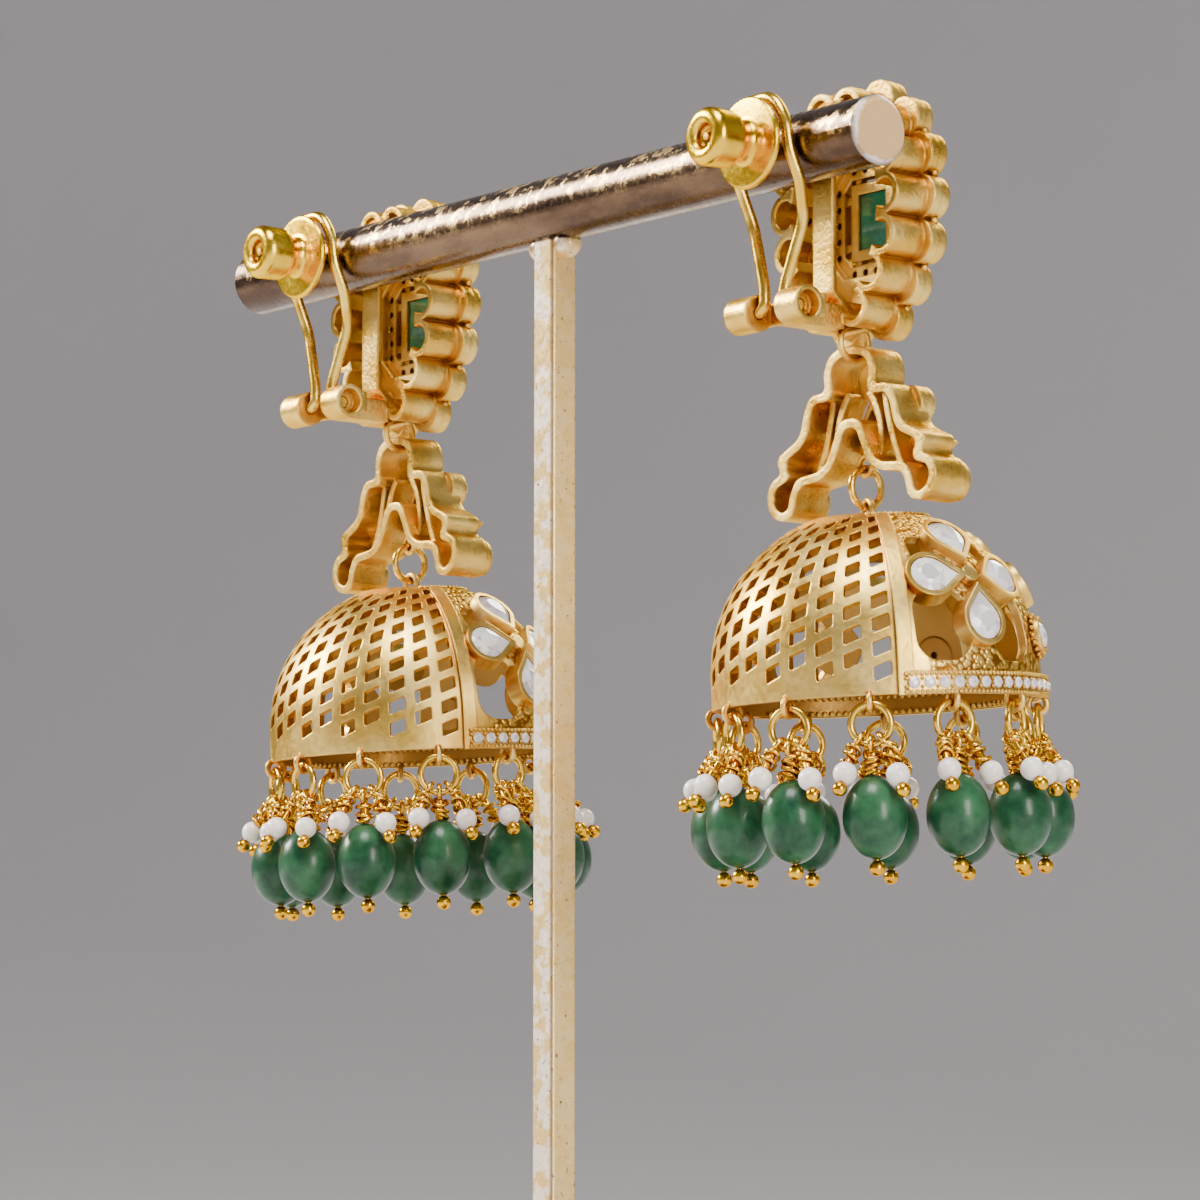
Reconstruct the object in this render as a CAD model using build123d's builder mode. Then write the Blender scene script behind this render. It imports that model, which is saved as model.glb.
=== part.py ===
from build123d import *
import math
import os

# A pair of bell-shaped ear drops hanging from a plain T stand.
# Millimetres. Z is up, X runs along the crossbar, the fronts of the drops face -Y.
# The origin is on the floor under the stand's post. Every ear drop is drawn about its own
# origin, where its ear post crosses the crossbar's axis, and is then set in its place.

os.makedirs("parts", exist_ok=True)

# ---- stand
BAR_HEIGHT = 135.0
BAR_RADIUS = 3.9
BAR_LEFT_END = -58.0
BAR_RIGHT_END = 63.0
BAR_BEVEL = 0.7
BAR_ROUND = 1.8
POST_SIDE = 3.8
POST_ROUND = 0.6
POST_FOOT_Z = 1.5
POST_TOP_Z = BAR_HEIGHT - 1.0
WELD_RADIUS = 1.7
WELD_X = 2.3
WELD_DROP = 4.3
BASE_LENGTH = 96.0
BASE_WIDTH = 64.0
BASE_THICK = 4.0
BASE_CORNER = 8.0
BASE_EDGE = 0.6
SOCKET_SIDE = 4.1
SOCKET_FLOOR_Z = 1.4
EAR_HOLE_RADIUS = 0.70
EAR_X = 43.15
STANDING = (Align.CENTER, Align.CENTER, Align.MIN)

# ---- ear top: y stations from back to front
RIBBON_Y = -5.8
SLAB_Y = -10.4
FACE_Y = -11.6
CUP_Y = -12.8
LAP = 0.2
WALL = 0.7
CUP_RADIUS = 2.5
CUP_WALL = 0.6
CUP_VENT_RADIUS = 0.4
# collet centres on the right half of the border: (x, z)
CUPS = (
    (2.42, 6.55), (6.6, 3.9), (8.9, -0.4), (9.3, -5.3), (8.7, -10.2), (6.3, -14.5), (3.15, -18.1),
)
# lobes of the ribbon behind the border, drawn in from the collets: (x, z)
RIBBON_LOBES = (
    (2.15, 5.2), (5.8, 3.0), (8.0, -0.9), (8.4, -5.3), (7.8, -9.8), (5.7, -13.6), (3.1, -17.2),
)
RIBBON_LOBE_RADIUS = 2.35
COLLET_INSET = 0.1
SMALL_STONE_DEPTH = 1.3
SMALL_STONE_BEVEL = 0.4
FIELD_Z = -5.7
FIELD_HALF_WIDTH = 8.0
FIELD_HALF_HEIGHT = 11.8
FRAME_Z = -6.4
FRAME_HALF_WIDTH = 6.4
FRAME_HALF_HEIGHT = 6.9
FRAME_CUT = 2.4
FRAME_INNER_CUT = 1.3
FRAME_BAND = 1.95
FRAME_SEAT = 0.4
FRAME_DEPTH = 1.4
FRAME_HOLE_RADIUS = 0.42
FRAME_HOLE_INSET = 1.0
FRAME_HOLE_PITCH = 1.85
BEZEL_WIDTH = 7.0
BEZEL_HEIGHT = 8.8
BEZEL_LIP = 1.2
BEZEL_WALL = 0.65
BEZEL_LIP_Y = -12.4
BEZEL_FRONT_Y = -14.4
# bridges from the bezel to the frame: (x, height off the middle, size in x, size in z)
BRIDGES = ((4.0, 2.7, 1.5, 0.9), (2.4, 4.75, 0.9, 1.3))
BRIDGE_Y = -12.2
BRIDGE_THICK = 0.9
CENTRE_STONE_DEPTH = 2.5
CENTRE_STONE_BEVEL = 0.9
STONE_BACK = 0.5
STONE_GAP = 0.08
SEAT_GAP = 0.05

# ---- rear strip, ear post, hinge barrels
STRIP_HALF_WIDTH = 1.6
# side profile of the strip, (y, z) down its rear face and back up its front face
STRIP_PROFILE = (
    (-7.3, 7.6), (-4.2, 5.2), (-4.2, -15.6), (-7.0, -18.2),
    (-7.6, -17.7), (-4.9, -15.2), (-4.9, 4.9), (-7.8, 7.2),
)
POST_RADIUS = 0.45
POST_BACK_Y = -4.5
POST_TIP_Y = 12.6
HINGE_Y = 3.0
HINGE_Z = -18.3
BARREL_RADIUS = 2.05
BARREL_BORE = 0.72
BARREL_MOUTH = 1.5
BARREL_IN = 2.5
BARREL_OUT = 6.1
BARREL_MOUTH_DEPTH = 1.5
BLOCK_TOP_Z = -16.9
BLOCK_BOTTOM_Z = -19.6
BLOCK_FRONT_Y = -6.0
BLOCK_BACK_Y = 1.2
CROSSPLATE_THICK = 0.7
HANG_BAR_RADIUS = 0.4
HANG_BAR_HALF = 2.5
HANG_BAR_Z = -19.45
HANG_Y = -8.8

# ---- lever and clutch
LEVER_WIRE = 0.65
# right half of the lever's centre line, from its end in the barrel to its crown: (x, y, z)
LEVER_HALF = (
    (4.5, HINGE_Y, HINGE_Z), (1.45, HINGE_Y, HINGE_Z), (1.75, 2.75, -15.6), (4.2, 2.1, -8.6),
    (4.95, 3.35, -4.3), (4.85, 4.7, -1.3), (4.5, 4.95, 2.4), (2.4, 5.0, 5.1),
)
BEND_SHARE = 0.44
BEND_LIMIT = 6.0
CLUTCH_BORE = 0.50
# clutch outline: (radius, y)
CLUTCH_PROFILE = (
    (CLUTCH_BORE, 6.1), (5.15, 6.1), (5.15, 6.85), (2.2, 7.1), (2.0, 8.5), (3.2, 9.3),
    (3.3, 12.6), (2.6, 13.3), (1.4, 13.2), (1.3, 12.0), (CLUTCH_BORE, 12.0),
)

# ---- link between ear top and openwork drop
LINK_MEAN = 2.05
LINK_WIRE = 0.4
LINK_Z = -20.65

# ---- openwork drop
DROP_BACK_Y = -8.0
DROP_DEPTH = 4.6
DROP_WALL = 0.95
ARCH_DEPTH = 1.6
# right half of the drop's outline, from the arch's crown round to the apex: (x, z)
DROP_HALF = (
    (1.6, -21.2), (3.5, -22.0), (4.35, -24.0), (4.0, -25.9), (6.6, -26.0), (7.7, -27.8), (8.4, -30.6),
    (12.6, -32.5), (11.6, -34.4), (13.5, -35.0), (14.35, -37.0), (13.4, -39.0), (11.5, -39.8),
    (9.7, -39.1), (9.3, -37.3), (8.5, -36.0), (5.0, -35.7), (3.0, -34.5), (1.9, -32.2), (1.0, -30.3),
)
# ribs on the right half: start, middle, end, each (x, z)
DROP_RIBS = (
    ((1.7, -26.3), (3.5, -29.8), (3.1, -34.3)),
    ((4.3, -26.2), (5.3, -30.8), (7.2, -35.4)),
)
RIB_WALL = 0.75
RIB_BACK_Y = -9.4
RIB_DEPTH = 3.0
# round collets: (x, z, radius)
DROP_CUPS = ((6.2, -28.1, 2.1), (11.75, -37.2, 2.25))
TOP_CUP = (0.0, -24.7, 2.3)
DROP_CUPS_BOTH = [TOP_CUP] + [(side * x, z, r) for x, z, r in DROP_CUPS for side in (1, -1)]
CUP_BACK_Y = -11.4
CUP_FLOOR = 0.6
CUP_HEIGHT = 2.0
# leaf-shaped collet: centre, radius, reach to the tip, turn of the tip in degrees
LEAF_X = 7.9
LEAF_Z = -33.1
LEAF_RADIUS = 1.9
LEAF_REACH = 4.3
LEAF_TURN = 3.0
LEAF_PLACES = [Location((LEAF_X, LEAF_Z), LEAF_TURN), Location((-LEAF_X, LEAF_Z), 180 - LEAF_TURN)]
HEART_Z = -31.2
HEART_RADIUS = 2.5
HEART_REACH = 4.6
HEART_PLACE = Location((0, HEART_Z), 90)
STONE_DEPTH = 1.6
CROWN_RADIUS = 1.55
CROWN_HEIGHT = 2.2
CROWN_WALL = 0.4
CROWN_SEAT = 0.4
EYELET_MEAN = 1.1
EYELET_WIRE = 0.35
EYELET_Z = -34.4
# lug behind the eyelet: its z, and its size in x, y and z
LUG_Z = -33.1
LUG_SIZE = (1.3, 1.6, 0.9)
LUG_BACK = 0.3
BELL_Y = -10.5
ARCH_GAP_HALF = 1.3
ARCH_GAP_BOTTOM = -23.3
ARCH_CUT = 10.0

# ---- link between drop and bell
BELL_LINK_MEAN = 2.2
BELL_LINK_WIRE = 0.4
BELL_LINK_Z = -36.9
BELL_LOOP_Z = -39.4

# ---- bell: a sphere with a flat top over a short straight band
BELL_RADIUS = 18.3
BELL_SHELL = 1.0
INNER_RADIUS = BELL_RADIUS - BELL_SHELL
BELL_CENTRE_Z = -57.5
BELL_TOP_Z = -40.3
BELL_RIM_Z = -61.2
BELL_TILT = 3.0
# lattice over the back half: upright columns of skewed holes, angles in degrees
LATTICE_COLUMNS = 14
COLUMN_STEP = 10.0
ROW_PITCH = 8.3
COLUMN_SHIFT = 0.45
LATTICE_LOWEST = 93.5
LATTICE_HIGHEST = 25.5
LATTICE_SHARE = 0.62
HOLE_ROUND = 0.25
SIDE_RIB_ANGLE = 72.5
SIDE_RIB_WIDTH = 1.7
SIDE_RIB_RISE = 0.45
RIB_OUT = BELL_RADIUS + SIDE_RIB_RISE
RIB_IN = BELL_RADIUS - BELL_SHELL / 2
BAND_TOP_Z = -58.9
BAND_RISE = 0.6
BAND_BITE = 0.35
RIB_FOOT_Z = -61.35
RIB_TOP_ANGLE = 25.0
RIB_MID_ANGLE = 57.0
CUT_ABOVE = 1.0
CUT_DEPTH = 3.2
# flowers on the bell: angle from the back, height of the middle
FLOWERS = ((103.0, -48.4), (180.0, -48.4), (257.0, -48.4))
# petals of a flower: turn round the bell and angle down the bell from the flower's middle, then
# the way the tip points (0 along the turn, 90 down the bell), all in degrees
PETALS = ((-18.0, 0.5, 0.0), (18.0, 0.5, 180.0), (0.0, -17.5, 90.0), (0.0, 17.0, -90.0))
PETAL_RADIUS = 2.25
PETAL_REACH = 3.4
PETAL_WALL = 0.6
PETAL_RISE = 0.9
PETAL_SINK = 1.3
PETAL_SEAT = 0.1
# windows beside a flower: turn round the bell, angle down the bell, half width, half height
WINDOWS = (
    (-15.5, 17.5, 3.3, 4.1), (15.5, 17.5, 3.3, 4.1), (-16.5, -13.0, 1.5, 2.1), (16.5, -13.0, 1.5, 2.1),
)
# round collets between the flowers: angle from the back, z
SIDE_CUPS = ((141.5, -54.6), (218.5, -54.6))
SIDE_CUP_RADIUS = 2.1
SIDE_CUP_WALL = 0.55
BUD_RADIUS = 1.0
BUD_SINK = 0.5
POCKET_ABOVE = 0.5
VENT_DEPTH = 6.0

# ---- fringe
CLUSTERS = 12
RIM_LOOP_R = 17.8
RIM_LOOP_Z = -61.9
RIM_LOOP_MEAN = 1.0
RIM_LOOP_WIRE = 0.35
JUMP_MEAN = 2.2
JUMP_WIRE = 0.4
JUMP_Z = -64.3
EYE_MEAN = 0.85
EYE_WIRE = 0.3
WRAP_RADIUS = 0.55
PIN_RADIUS = 0.3
BORE_GAP = 0.05
PEARL_WRAP_SHARE = 0.85
WRAP_GAP = 0.03
EYE_LAP = 0.5
BEAD_RADIUS = 3.5
BEAD_HALF_HEIGHT = 4.55
BEAD_TOP_Z = -69.8
BEAD_TIP_RADIUS = 0.85
PEARL_RADIUS = 1.3
PEARL_TIP_RADIUS = 0.8
# seed pearls of a cluster: the eye's angle from the jump ring's foot, and the pearl's middle
# as (along the rim, outward, z)
PEARL_PINS = ((38.0, (2.5, 2.6, -69.6)), (-38.0, (-3.15, 1.95, -69.95)))
# small turns of the clusters about their own jump rings, degrees
CLUSTER_TURNS = (6, -8, 10, -4, 7, -10, 3, 9, -6, 5, -9, 4)

# ---- the two ear drops: name, x of the ear post, turn of the drop, turn of the bell
EARS = (("left", -EAR_X, 0.0, -14.0), ("right", EAR_X, -3.0, 4.4))


def front(y):
    """Plane at y that faces the front, with local x = X and local y = Z."""
    return Plane.XZ.offset(-y)


def both(points):
    """The points of a right half and their mirror images."""
    return [(side * p[0], p[1]) for p in points for side in (1, -1)]


def closed_half(points):
    """A symmetric closed outline from its right half, listed top to bottom."""
    return list(points) + [(-x, z) for x, z in reversed(points)]


def inset(points, distance):
    """A closed outline with every side moved inward by one distance."""
    count = len(points)
    area = sum(p[0] * q[1] - q[0] * p[1] for p, q in zip(points, points[1:] + points[:1]))
    turn = 1 if area > 0 else -1
    moved = []
    for i in range(count):
        a, b, c = (Vector(*points[(i + k) % count]) for k in (-1, 0, 1))
        u, v = (b - a).normalized(), (c - b).normalized()
        nu, nv = Vector(-u.Y, u.X) * turn, Vector(-v.Y, v.X) * turn
        miter = (nu + nv).normalized()
        corner = b + miter * (distance / miter.dot(nu))
        moved.append((corner.X, corner.Y))
    return moved


def octagon(half_width, half_height, cut):
    """A rectangle's outline with its corners cut at 45 degrees."""
    quarter = ((half_width, half_height - cut), (half_width - cut, half_height))
    right = list(quarter) + [(-x, z) for x, z in reversed(quarter)]
    return right + [(-x, -z) for x, z in right]


def teardrop(radius, reach, grow, mode=Mode.ADD):
    """A round end of one radius with straight sides to a tip, the whole grown outward."""
    sine = radius / reach
    r = radius + grow
    tip = r / sine
    lean = math.acos(sine)
    tangent = (r * math.cos(lean), r * math.sin(lean))
    Circle(r, mode=mode)
    Polygon((tangent[0], -tangent[1]), (tip, 0), tangent, align=None, mode=mode)


def bend_radii(points, closed=False):
    """One bend radius for each inner corner of a path, or for every corner of a closed outline."""
    if closed:
        points = [points[-1], *points, points[0]]
    radii = []
    for a, b, c in zip(points, points[1:], points[2:]):
        u = Vector(*b) - Vector(*a)
        v = Vector(*c) - Vector(*b)
        half_turn = math.radians(u.get_angle(v)) / 2
        widest = BEND_SHARE * min(u.length, v.length) / math.tan(half_turn)
        radii.append(min(widest, BEND_LIMIT))
    return radii


def soft_outline(points, mode=Mode.ADD):
    """A closed face whose corners are all as round as its sides allow."""
    with BuildLine(Plane.XY) as outline:
        FilletPolyline(*points, radius=bend_radii(points, closed=True), close=True)
    make_face(outline.edges(), mode=mode)


def scallops(lobes, radius, shrink, mode=Mode.ADD):
    """The ear top's outline: its field and a row of lobes round it."""
    with Locations(*both(lobes)):
        Circle(radius, mode=mode)
    with Locations((0, FIELD_Z)):
        Ellipse(FIELD_HALF_WIDTH - shrink, FIELD_HALF_HEIGHT - shrink, mode=mode)


def bell_plane(around, down, rise=0.0):
    """Plane on the bell's surface; around is measured from the back, down from the crown."""
    a = math.radians(around)
    d = math.radians(min(down, 90.0))
    below = math.radians(max(down - 90.0, 0.0)) * BELL_RADIUS
    out = Vector(math.sin(a) * math.sin(d), math.cos(a) * math.sin(d), math.cos(d))
    centre = Vector(0, 0, BELL_CENTRE_Z - below)
    side = (math.cos(a), -math.sin(a), 0)
    return Plane(origin=centre + out * (BELL_RADIUS + rise), x_dir=side, z_dir=out)


def down_angle(z):
    """Angle from the crown of a point on the bell's sphere."""
    return math.degrees(math.acos((z - BELL_CENTRE_Z) / BELL_RADIUS))


def save(piece, name):
    piece.label = name
    export_step(piece, "parts/" + name + ".step")


# ---------------------------------------------------------------- stand
with BuildPart() as stand_base:
    Box(BASE_LENGTH, BASE_WIDTH, BASE_THICK, align=STANDING)
    fillet(stand_base.edges().filter_by(Axis.Z), BASE_CORNER)
    chamfer(stand_base.edges().group_by(Axis.Z)[-1], BASE_EDGE)
    with Locations((0, 0, SOCKET_FLOOR_Z)):
        Box(SOCKET_SIDE, SOCKET_SIDE, BASE_THICK, align=STANDING, mode=Mode.SUBTRACT)
save(stand_base.part, "stand_base")

with BuildPart() as stand_frame:
    with BuildSketch(Plane.XY.offset(POST_FOOT_Z)):
        RectangleRounded(POST_SIDE, POST_SIDE, POST_ROUND)
    extrude(amount=POST_TOP_Z - POST_FOOT_Z)
    with BuildSketch(Plane.XY.offset(BAR_HEIGHT)):
        with BuildLine():
            Polyline(
                (BAR_LEFT_END, 0),
                (BAR_LEFT_END, BAR_RADIUS - BAR_BEVEL),
                (BAR_LEFT_END + BAR_BEVEL, BAR_RADIUS),
                (BAR_RIGHT_END - BAR_ROUND, BAR_RADIUS),
                (BAR_RIGHT_END - BAR_ROUND / 4, BAR_RADIUS - BAR_ROUND / 2),
                (BAR_RIGHT_END, BAR_RADIUS - BAR_ROUND),
                (BAR_RIGHT_END, 0),
                close=True,
            )
        make_face()
    revolve(axis=Axis((0, 0, BAR_HEIGHT), (1, 0, 0)))
    with Locations((WELD_X, 0, BAR_HEIGHT - WELD_DROP), (-WELD_X, 0, BAR_HEIGHT - WELD_DROP)):
        Sphere(WELD_RADIUS)
    with Locations((-EAR_X, 0, BAR_HEIGHT), (EAR_X, 0, BAR_HEIGHT)):
        Cylinder(EAR_HOLE_RADIUS, 4 * BAR_RADIUS, rotation=(90, 0, 0), mode=Mode.SUBTRACT)
save(stand_frame.part, "stand_frame")


# ---------------------------------------------------------------- ear top
with BuildPart() as plate:
    # deep scalloped ribbon behind the border
    with BuildSketch(front(RIBBON_Y)):
        scallops(RIBBON_LOBES, RIBBON_LOBE_RADIUS, 0)
        scallops(RIBBON_LOBES, RIBBON_LOBE_RADIUS - WALL, WALL, mode=Mode.SUBTRACT)
    extrude(amount=RIBBON_Y - SLAB_Y + LAP)
    # slab with its octagonal opening
    with BuildSketch(front(SLAB_Y)):
        scallops(CUPS, CUP_RADIUS, 0)
        with Locations((0, FRAME_Z)):
            opening = octagon(FRAME_HALF_WIDTH - FRAME_SEAT, FRAME_HALF_HEIGHT - FRAME_SEAT, FRAME_CUT)
            Polygon(*opening, align=None, mode=Mode.SUBTRACT)
        with Locations(*both(CUPS)):
            Circle(CUP_VENT_RADIUS, mode=Mode.SUBTRACT)
    extrude(amount=SLAB_Y - FACE_Y)
    # collet walls on the slab's face
    with BuildSketch(front(FACE_Y + LAP)):
        with Locations(*both(CUPS)):
            Circle(CUP_RADIUS - COLLET_INSET)
            Circle(CUP_RADIUS - COLLET_INSET - CUP_WALL, mode=Mode.SUBTRACT)
    extrude(amount=FACE_Y + LAP - CUP_Y)
    # inner frame with its small holes
    with BuildSketch(front(FACE_Y + LAP)):
        with Locations((0, FRAME_Z)):
            Polygon(*octagon(FRAME_HALF_WIDTH, FRAME_HALF_HEIGHT, FRAME_CUT), align=None)
            inner = octagon(FRAME_HALF_WIDTH - FRAME_BAND, FRAME_HALF_HEIGHT - FRAME_BAND, FRAME_INNER_CUT)
            Polygon(*inner, align=None, mode=Mode.SUBTRACT)
        hole_x = FRAME_HALF_WIDTH - FRAME_HOLE_INSET
        hole_z = FRAME_HALF_HEIGHT - FRAME_HOLE_INSET
        side_steps = [k * FRAME_HOLE_PITCH for k in (-2, -1, 0, 1, 2)]
        end_steps = [k * FRAME_HOLE_PITCH for k in (-1.5, -0.5, 0.5, 1.5)]
        side_holes = [(s * hole_x, FRAME_Z + step) for s in (-1, 1) for step in side_steps]
        end_holes = [(step, FRAME_Z + s * hole_z) for s in (-1, 1) for step in end_steps]
        with Locations(*side_holes, *end_holes):
            Circle(FRAME_HOLE_RADIUS, mode=Mode.SUBTRACT)
    extrude(amount=FRAME_DEPTH)
    # oblong bezel: a back lip under the stone and a wall round it
    with BuildSketch(front(FACE_Y)):
        with Locations((0, FRAME_Z)):
            Rectangle(BEZEL_WIDTH, BEZEL_HEIGHT)
            Rectangle(BEZEL_WIDTH - 2 * BEZEL_LIP, BEZEL_HEIGHT - 2 * BEZEL_LIP, mode=Mode.SUBTRACT)
    extrude(amount=FACE_Y - BEZEL_LIP_Y)
    with BuildSketch(front(BEZEL_LIP_Y)):
        with Locations((0, FRAME_Z)):
            Rectangle(BEZEL_WIDTH, BEZEL_HEIGHT)
            Rectangle(BEZEL_WIDTH - 2 * BEZEL_WALL, BEZEL_HEIGHT - 2 * BEZEL_WALL, mode=Mode.SUBTRACT)
    extrude(amount=BEZEL_LIP_Y - BEZEL_FRONT_Y)
    # bridges from the bezel to the frame
    for x, rise, size_x, size_z in BRIDGES:
        with Locations(*[(s * x, BRIDGE_Y, FRAME_Z + t * rise) for s in (-1, 1) for t in (-1, 1)]):
            Box(size_x, BRIDGE_THICK, size_z)
    # rear strip, ear post and the bar that the drop hangs on
    with BuildSketch(Plane.YZ):
        with BuildLine():
            Polyline(*STRIP_PROFILE, close=True)
        make_face()
    extrude(amount=STRIP_HALF_WIDTH, both=True)
    with Locations((0, (POST_BACK_Y + POST_TIP_Y) / 2, 0)):
        Cylinder(POST_RADIUS, POST_TIP_Y - POST_BACK_Y, rotation=(90, 0, 0))
    with Locations((0, HANG_Y, HANG_BAR_Z)):
        Cylinder(HANG_BAR_RADIUS, 2 * HANG_BAR_HALF, rotation=(0, 90, 0))
    # block and crossplate that carry the hinge barrels
    block_mid = ((BLOCK_FRONT_Y + BLOCK_BACK_Y) / 2, (BLOCK_TOP_Z + BLOCK_BOTTOM_Z) / 2)
    with Locations((0, block_mid[0], block_mid[1])):
        Box(2 * STRIP_HALF_WIDTH, BLOCK_BACK_Y - BLOCK_FRONT_Y, BLOCK_TOP_Z - BLOCK_BOTTOM_Z)
    with Locations((0, BLOCK_BACK_Y - CROSSPLATE_THICK / 2, block_mid[1])):
        Box(2 * BARREL_OUT - LAP, CROSSPLATE_THICK, BLOCK_TOP_Z - BLOCK_BOTTOM_Z - LAP)
    barrel_mid = (BARREL_IN + BARREL_OUT) / 2
    with Locations((barrel_mid, HINGE_Y, HINGE_Z), (-barrel_mid, HINGE_Y, HINGE_Z)):
        Cylinder(BARREL_RADIUS, BARREL_OUT - BARREL_IN, rotation=(0, 90, 0))
        Cylinder(BARREL_BORE, BARREL_OUT - BARREL_IN, rotation=(0, 90, 0), mode=Mode.SUBTRACT)
    mouth_mid = BARREL_OUT - BARREL_MOUTH_DEPTH / 2
    with Locations((mouth_mid, HINGE_Y, HINGE_Z), (-mouth_mid, HINGE_Y, HINGE_Z)):
        Cylinder(BARREL_MOUTH, BARREL_MOUTH_DEPTH, rotation=(0, 90, 0), mode=Mode.SUBTRACT)

with BuildPart() as plate_stones:
    with BuildSketch(front(FACE_Y - SEAT_GAP)):
        with Locations(*both(CUPS)):
            Circle(CUP_RADIUS - COLLET_INSET - CUP_WALL - STONE_GAP)
    extrude(amount=SMALL_STONE_DEPTH)
    chamfer(plate_stones.edges().group_by(Axis.Y)[0], SMALL_STONE_BEVEL)

with BuildPart() as centre_stone:
    margin = 2 * (BEZEL_WALL + STONE_GAP)
    with BuildSketch(front(BEZEL_LIP_Y - SEAT_GAP)):
        with Locations((0, FRAME_Z)):
            Rectangle(BEZEL_WIDTH - margin, BEZEL_HEIGHT - margin)
    extrude(amount=CENTRE_STONE_DEPTH)
    chamfer(centre_stone.edges().group_by(Axis.Y)[0], CENTRE_STONE_BEVEL)
    # its back stands in the opening of the lip
    lip_margin = 2 * (BEZEL_LIP + STONE_GAP)
    with BuildSketch(front(BEZEL_LIP_Y + STONE_BACK)):
        with Locations((0, FRAME_Z)):
            Rectangle(BEZEL_WIDTH - lip_margin, BEZEL_HEIGHT - lip_margin)
    extrude(amount=2 * STONE_BACK)

lever_path = list(LEVER_HALF) + [(-x, y, z) for x, y, z in reversed(LEVER_HALF)]
with BuildPart() as omega_lever:
    with BuildLine() as lever_line:
        FilletPolyline(*lever_path, radius=bend_radii(lever_path))
    with BuildSketch(Plane(origin=lever_path[0], x_dir=(0, 1, 0), z_dir=(-1, 0, 0))):
        Circle(LEVER_WIRE)
    sweep()

with BuildPart() as clutch:
    with BuildSketch(Plane.XY):
        soft_outline(CLUTCH_PROFILE)
    revolve(axis=Axis.Y)

with BuildPart() as link_ring:
    with Locations((0, HANG_Y, LINK_Z)):
        Torus(LINK_MEAN, LINK_WIRE, rotation=(0, 90, 0))


# ---------------------------------------------------------------- openwork drop
with BuildPart() as drop:
    with BuildSketch(front(DROP_BACK_Y)):
        soft_outline(closed_half(DROP_HALF))
        soft_outline(inset(closed_half(DROP_HALF), DROP_WALL), mode=Mode.SUBTRACT)
    extrude(amount=DROP_DEPTH)
    with Locations((0, DROP_BACK_Y - ARCH_DEPTH - ARCH_CUT / 2, ARCH_GAP_BOTTOM + ARCH_CUT / 2)):
        Box(2 * ARCH_GAP_HALF, ARCH_CUT, ARCH_CUT, mode=Mode.SUBTRACT)
    with BuildSketch(front(RIB_BACK_Y)):
        for stations in DROP_RIBS:
            for side in (1, -1):
                with BuildLine():
                    ThreePointArc(*[(side * x, z) for x, z in stations])
                trace(line_width=RIB_WALL)
    extrude(amount=RIB_DEPTH)
    # collets and the heart in the middle, first as solid lobes
    with BuildSketch(front(CUP_BACK_Y)):
        for x, z, radius in DROP_CUPS_BOTH:
            with Locations((x, z)):
                Circle(radius)
        for place in LEAF_PLACES:
            with Locations(place):
                teardrop(LEAF_RADIUS, LEAF_REACH, 0)
        with Locations(HEART_PLACE):
            teardrop(HEART_RADIUS, HEART_REACH, 0)
    extrude(amount=CUP_HEIGHT)
    with BuildSketch(front(CUP_BACK_Y - CUP_HEIGHT + LAP)):
        with Locations((0, HEART_Z)):
            Circle(CROWN_RADIUS)
    extrude(amount=CROWN_HEIGHT + LAP)
    # pockets for the stones
    with BuildSketch(front(CUP_BACK_Y - CUP_FLOOR)):
        for x, z, radius in DROP_CUPS_BOTH:
            with Locations((x, z)):
                Circle(radius - CUP_WALL)
        for place in LEAF_PLACES:
            with Locations(place):
                teardrop(LEAF_RADIUS, LEAF_REACH, -CUP_WALL)
    extrude(amount=CUP_HEIGHT, mode=Mode.SUBTRACT)
    with BuildSketch(front(CUP_BACK_Y - CUP_HEIGHT - CROWN_SEAT)):
        with Locations((0, HEART_Z)):
            Circle(CROWN_RADIUS - CROWN_WALL)
    extrude(amount=CROWN_HEIGHT, mode=Mode.SUBTRACT)
    # the heart is hollow behind, and every collet has a small vent
    with BuildSketch(front(CUP_BACK_Y + LAP)):
        with Locations(HEART_PLACE):
            teardrop(HEART_RADIUS, HEART_REACH, -WALL)
    extrude(amount=CUP_HEIGHT - CUP_FLOOR + LAP, mode=Mode.SUBTRACT)
    with BuildSketch(front(CUP_BACK_Y + LAP)):
        with Locations(*[(x, z) for x, z, r in DROP_CUPS_BOTH], *LEAF_PLACES, HEART_PLACE):
            Circle(CUP_VENT_RADIUS)
    extrude(amount=2 * CUP_HEIGHT, mode=Mode.SUBTRACT)
    # eyelet that the bell's link hangs in, and the lug behind it
    with Locations((0, BELL_Y, EYELET_Z)):
        Torus(EYELET_MEAN, EYELET_WIRE, rotation=(90, 0, 0))
    with Locations((0, (BELL_Y + CUP_BACK_Y) / 2 - LUG_BACK, LUG_Z)):
        Box(*LUG_SIZE)

with BuildPart() as drop_stones:
    with BuildSketch(front(CUP_BACK_Y - CUP_FLOOR - SEAT_GAP)):
        for x, z, radius in DROP_CUPS_BOTH:
            with Locations((x, z)):
                Circle(radius - CUP_WALL - STONE_GAP)
        for place in LEAF_PLACES:
            with Locations(place):
                teardrop(LEAF_RADIUS, LEAF_REACH, -CUP_WALL - STONE_GAP)
    extrude(amount=STONE_DEPTH)

with BuildPart() as drop_bead:
    with BuildSketch(front(CUP_BACK_Y - CUP_HEIGHT - CROWN_SEAT - SEAT_GAP)):
        with Locations((0, HEART_Z)):
            Circle(CROWN_RADIUS - CROWN_WALL - STONE_GAP)
    extrude(amount=CROWN_HEIGHT)
    chamfer(drop_bead.edges().group_by(Axis.Y)[0], SMALL_STONE_BEVEL)

with BuildPart() as bell_link:
    with Locations((0, BELL_Y, BELL_LINK_Z)):
        Torus(BELL_LINK_MEAN, BELL_LINK_WIRE, rotation=(0, 90, 0))


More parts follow.
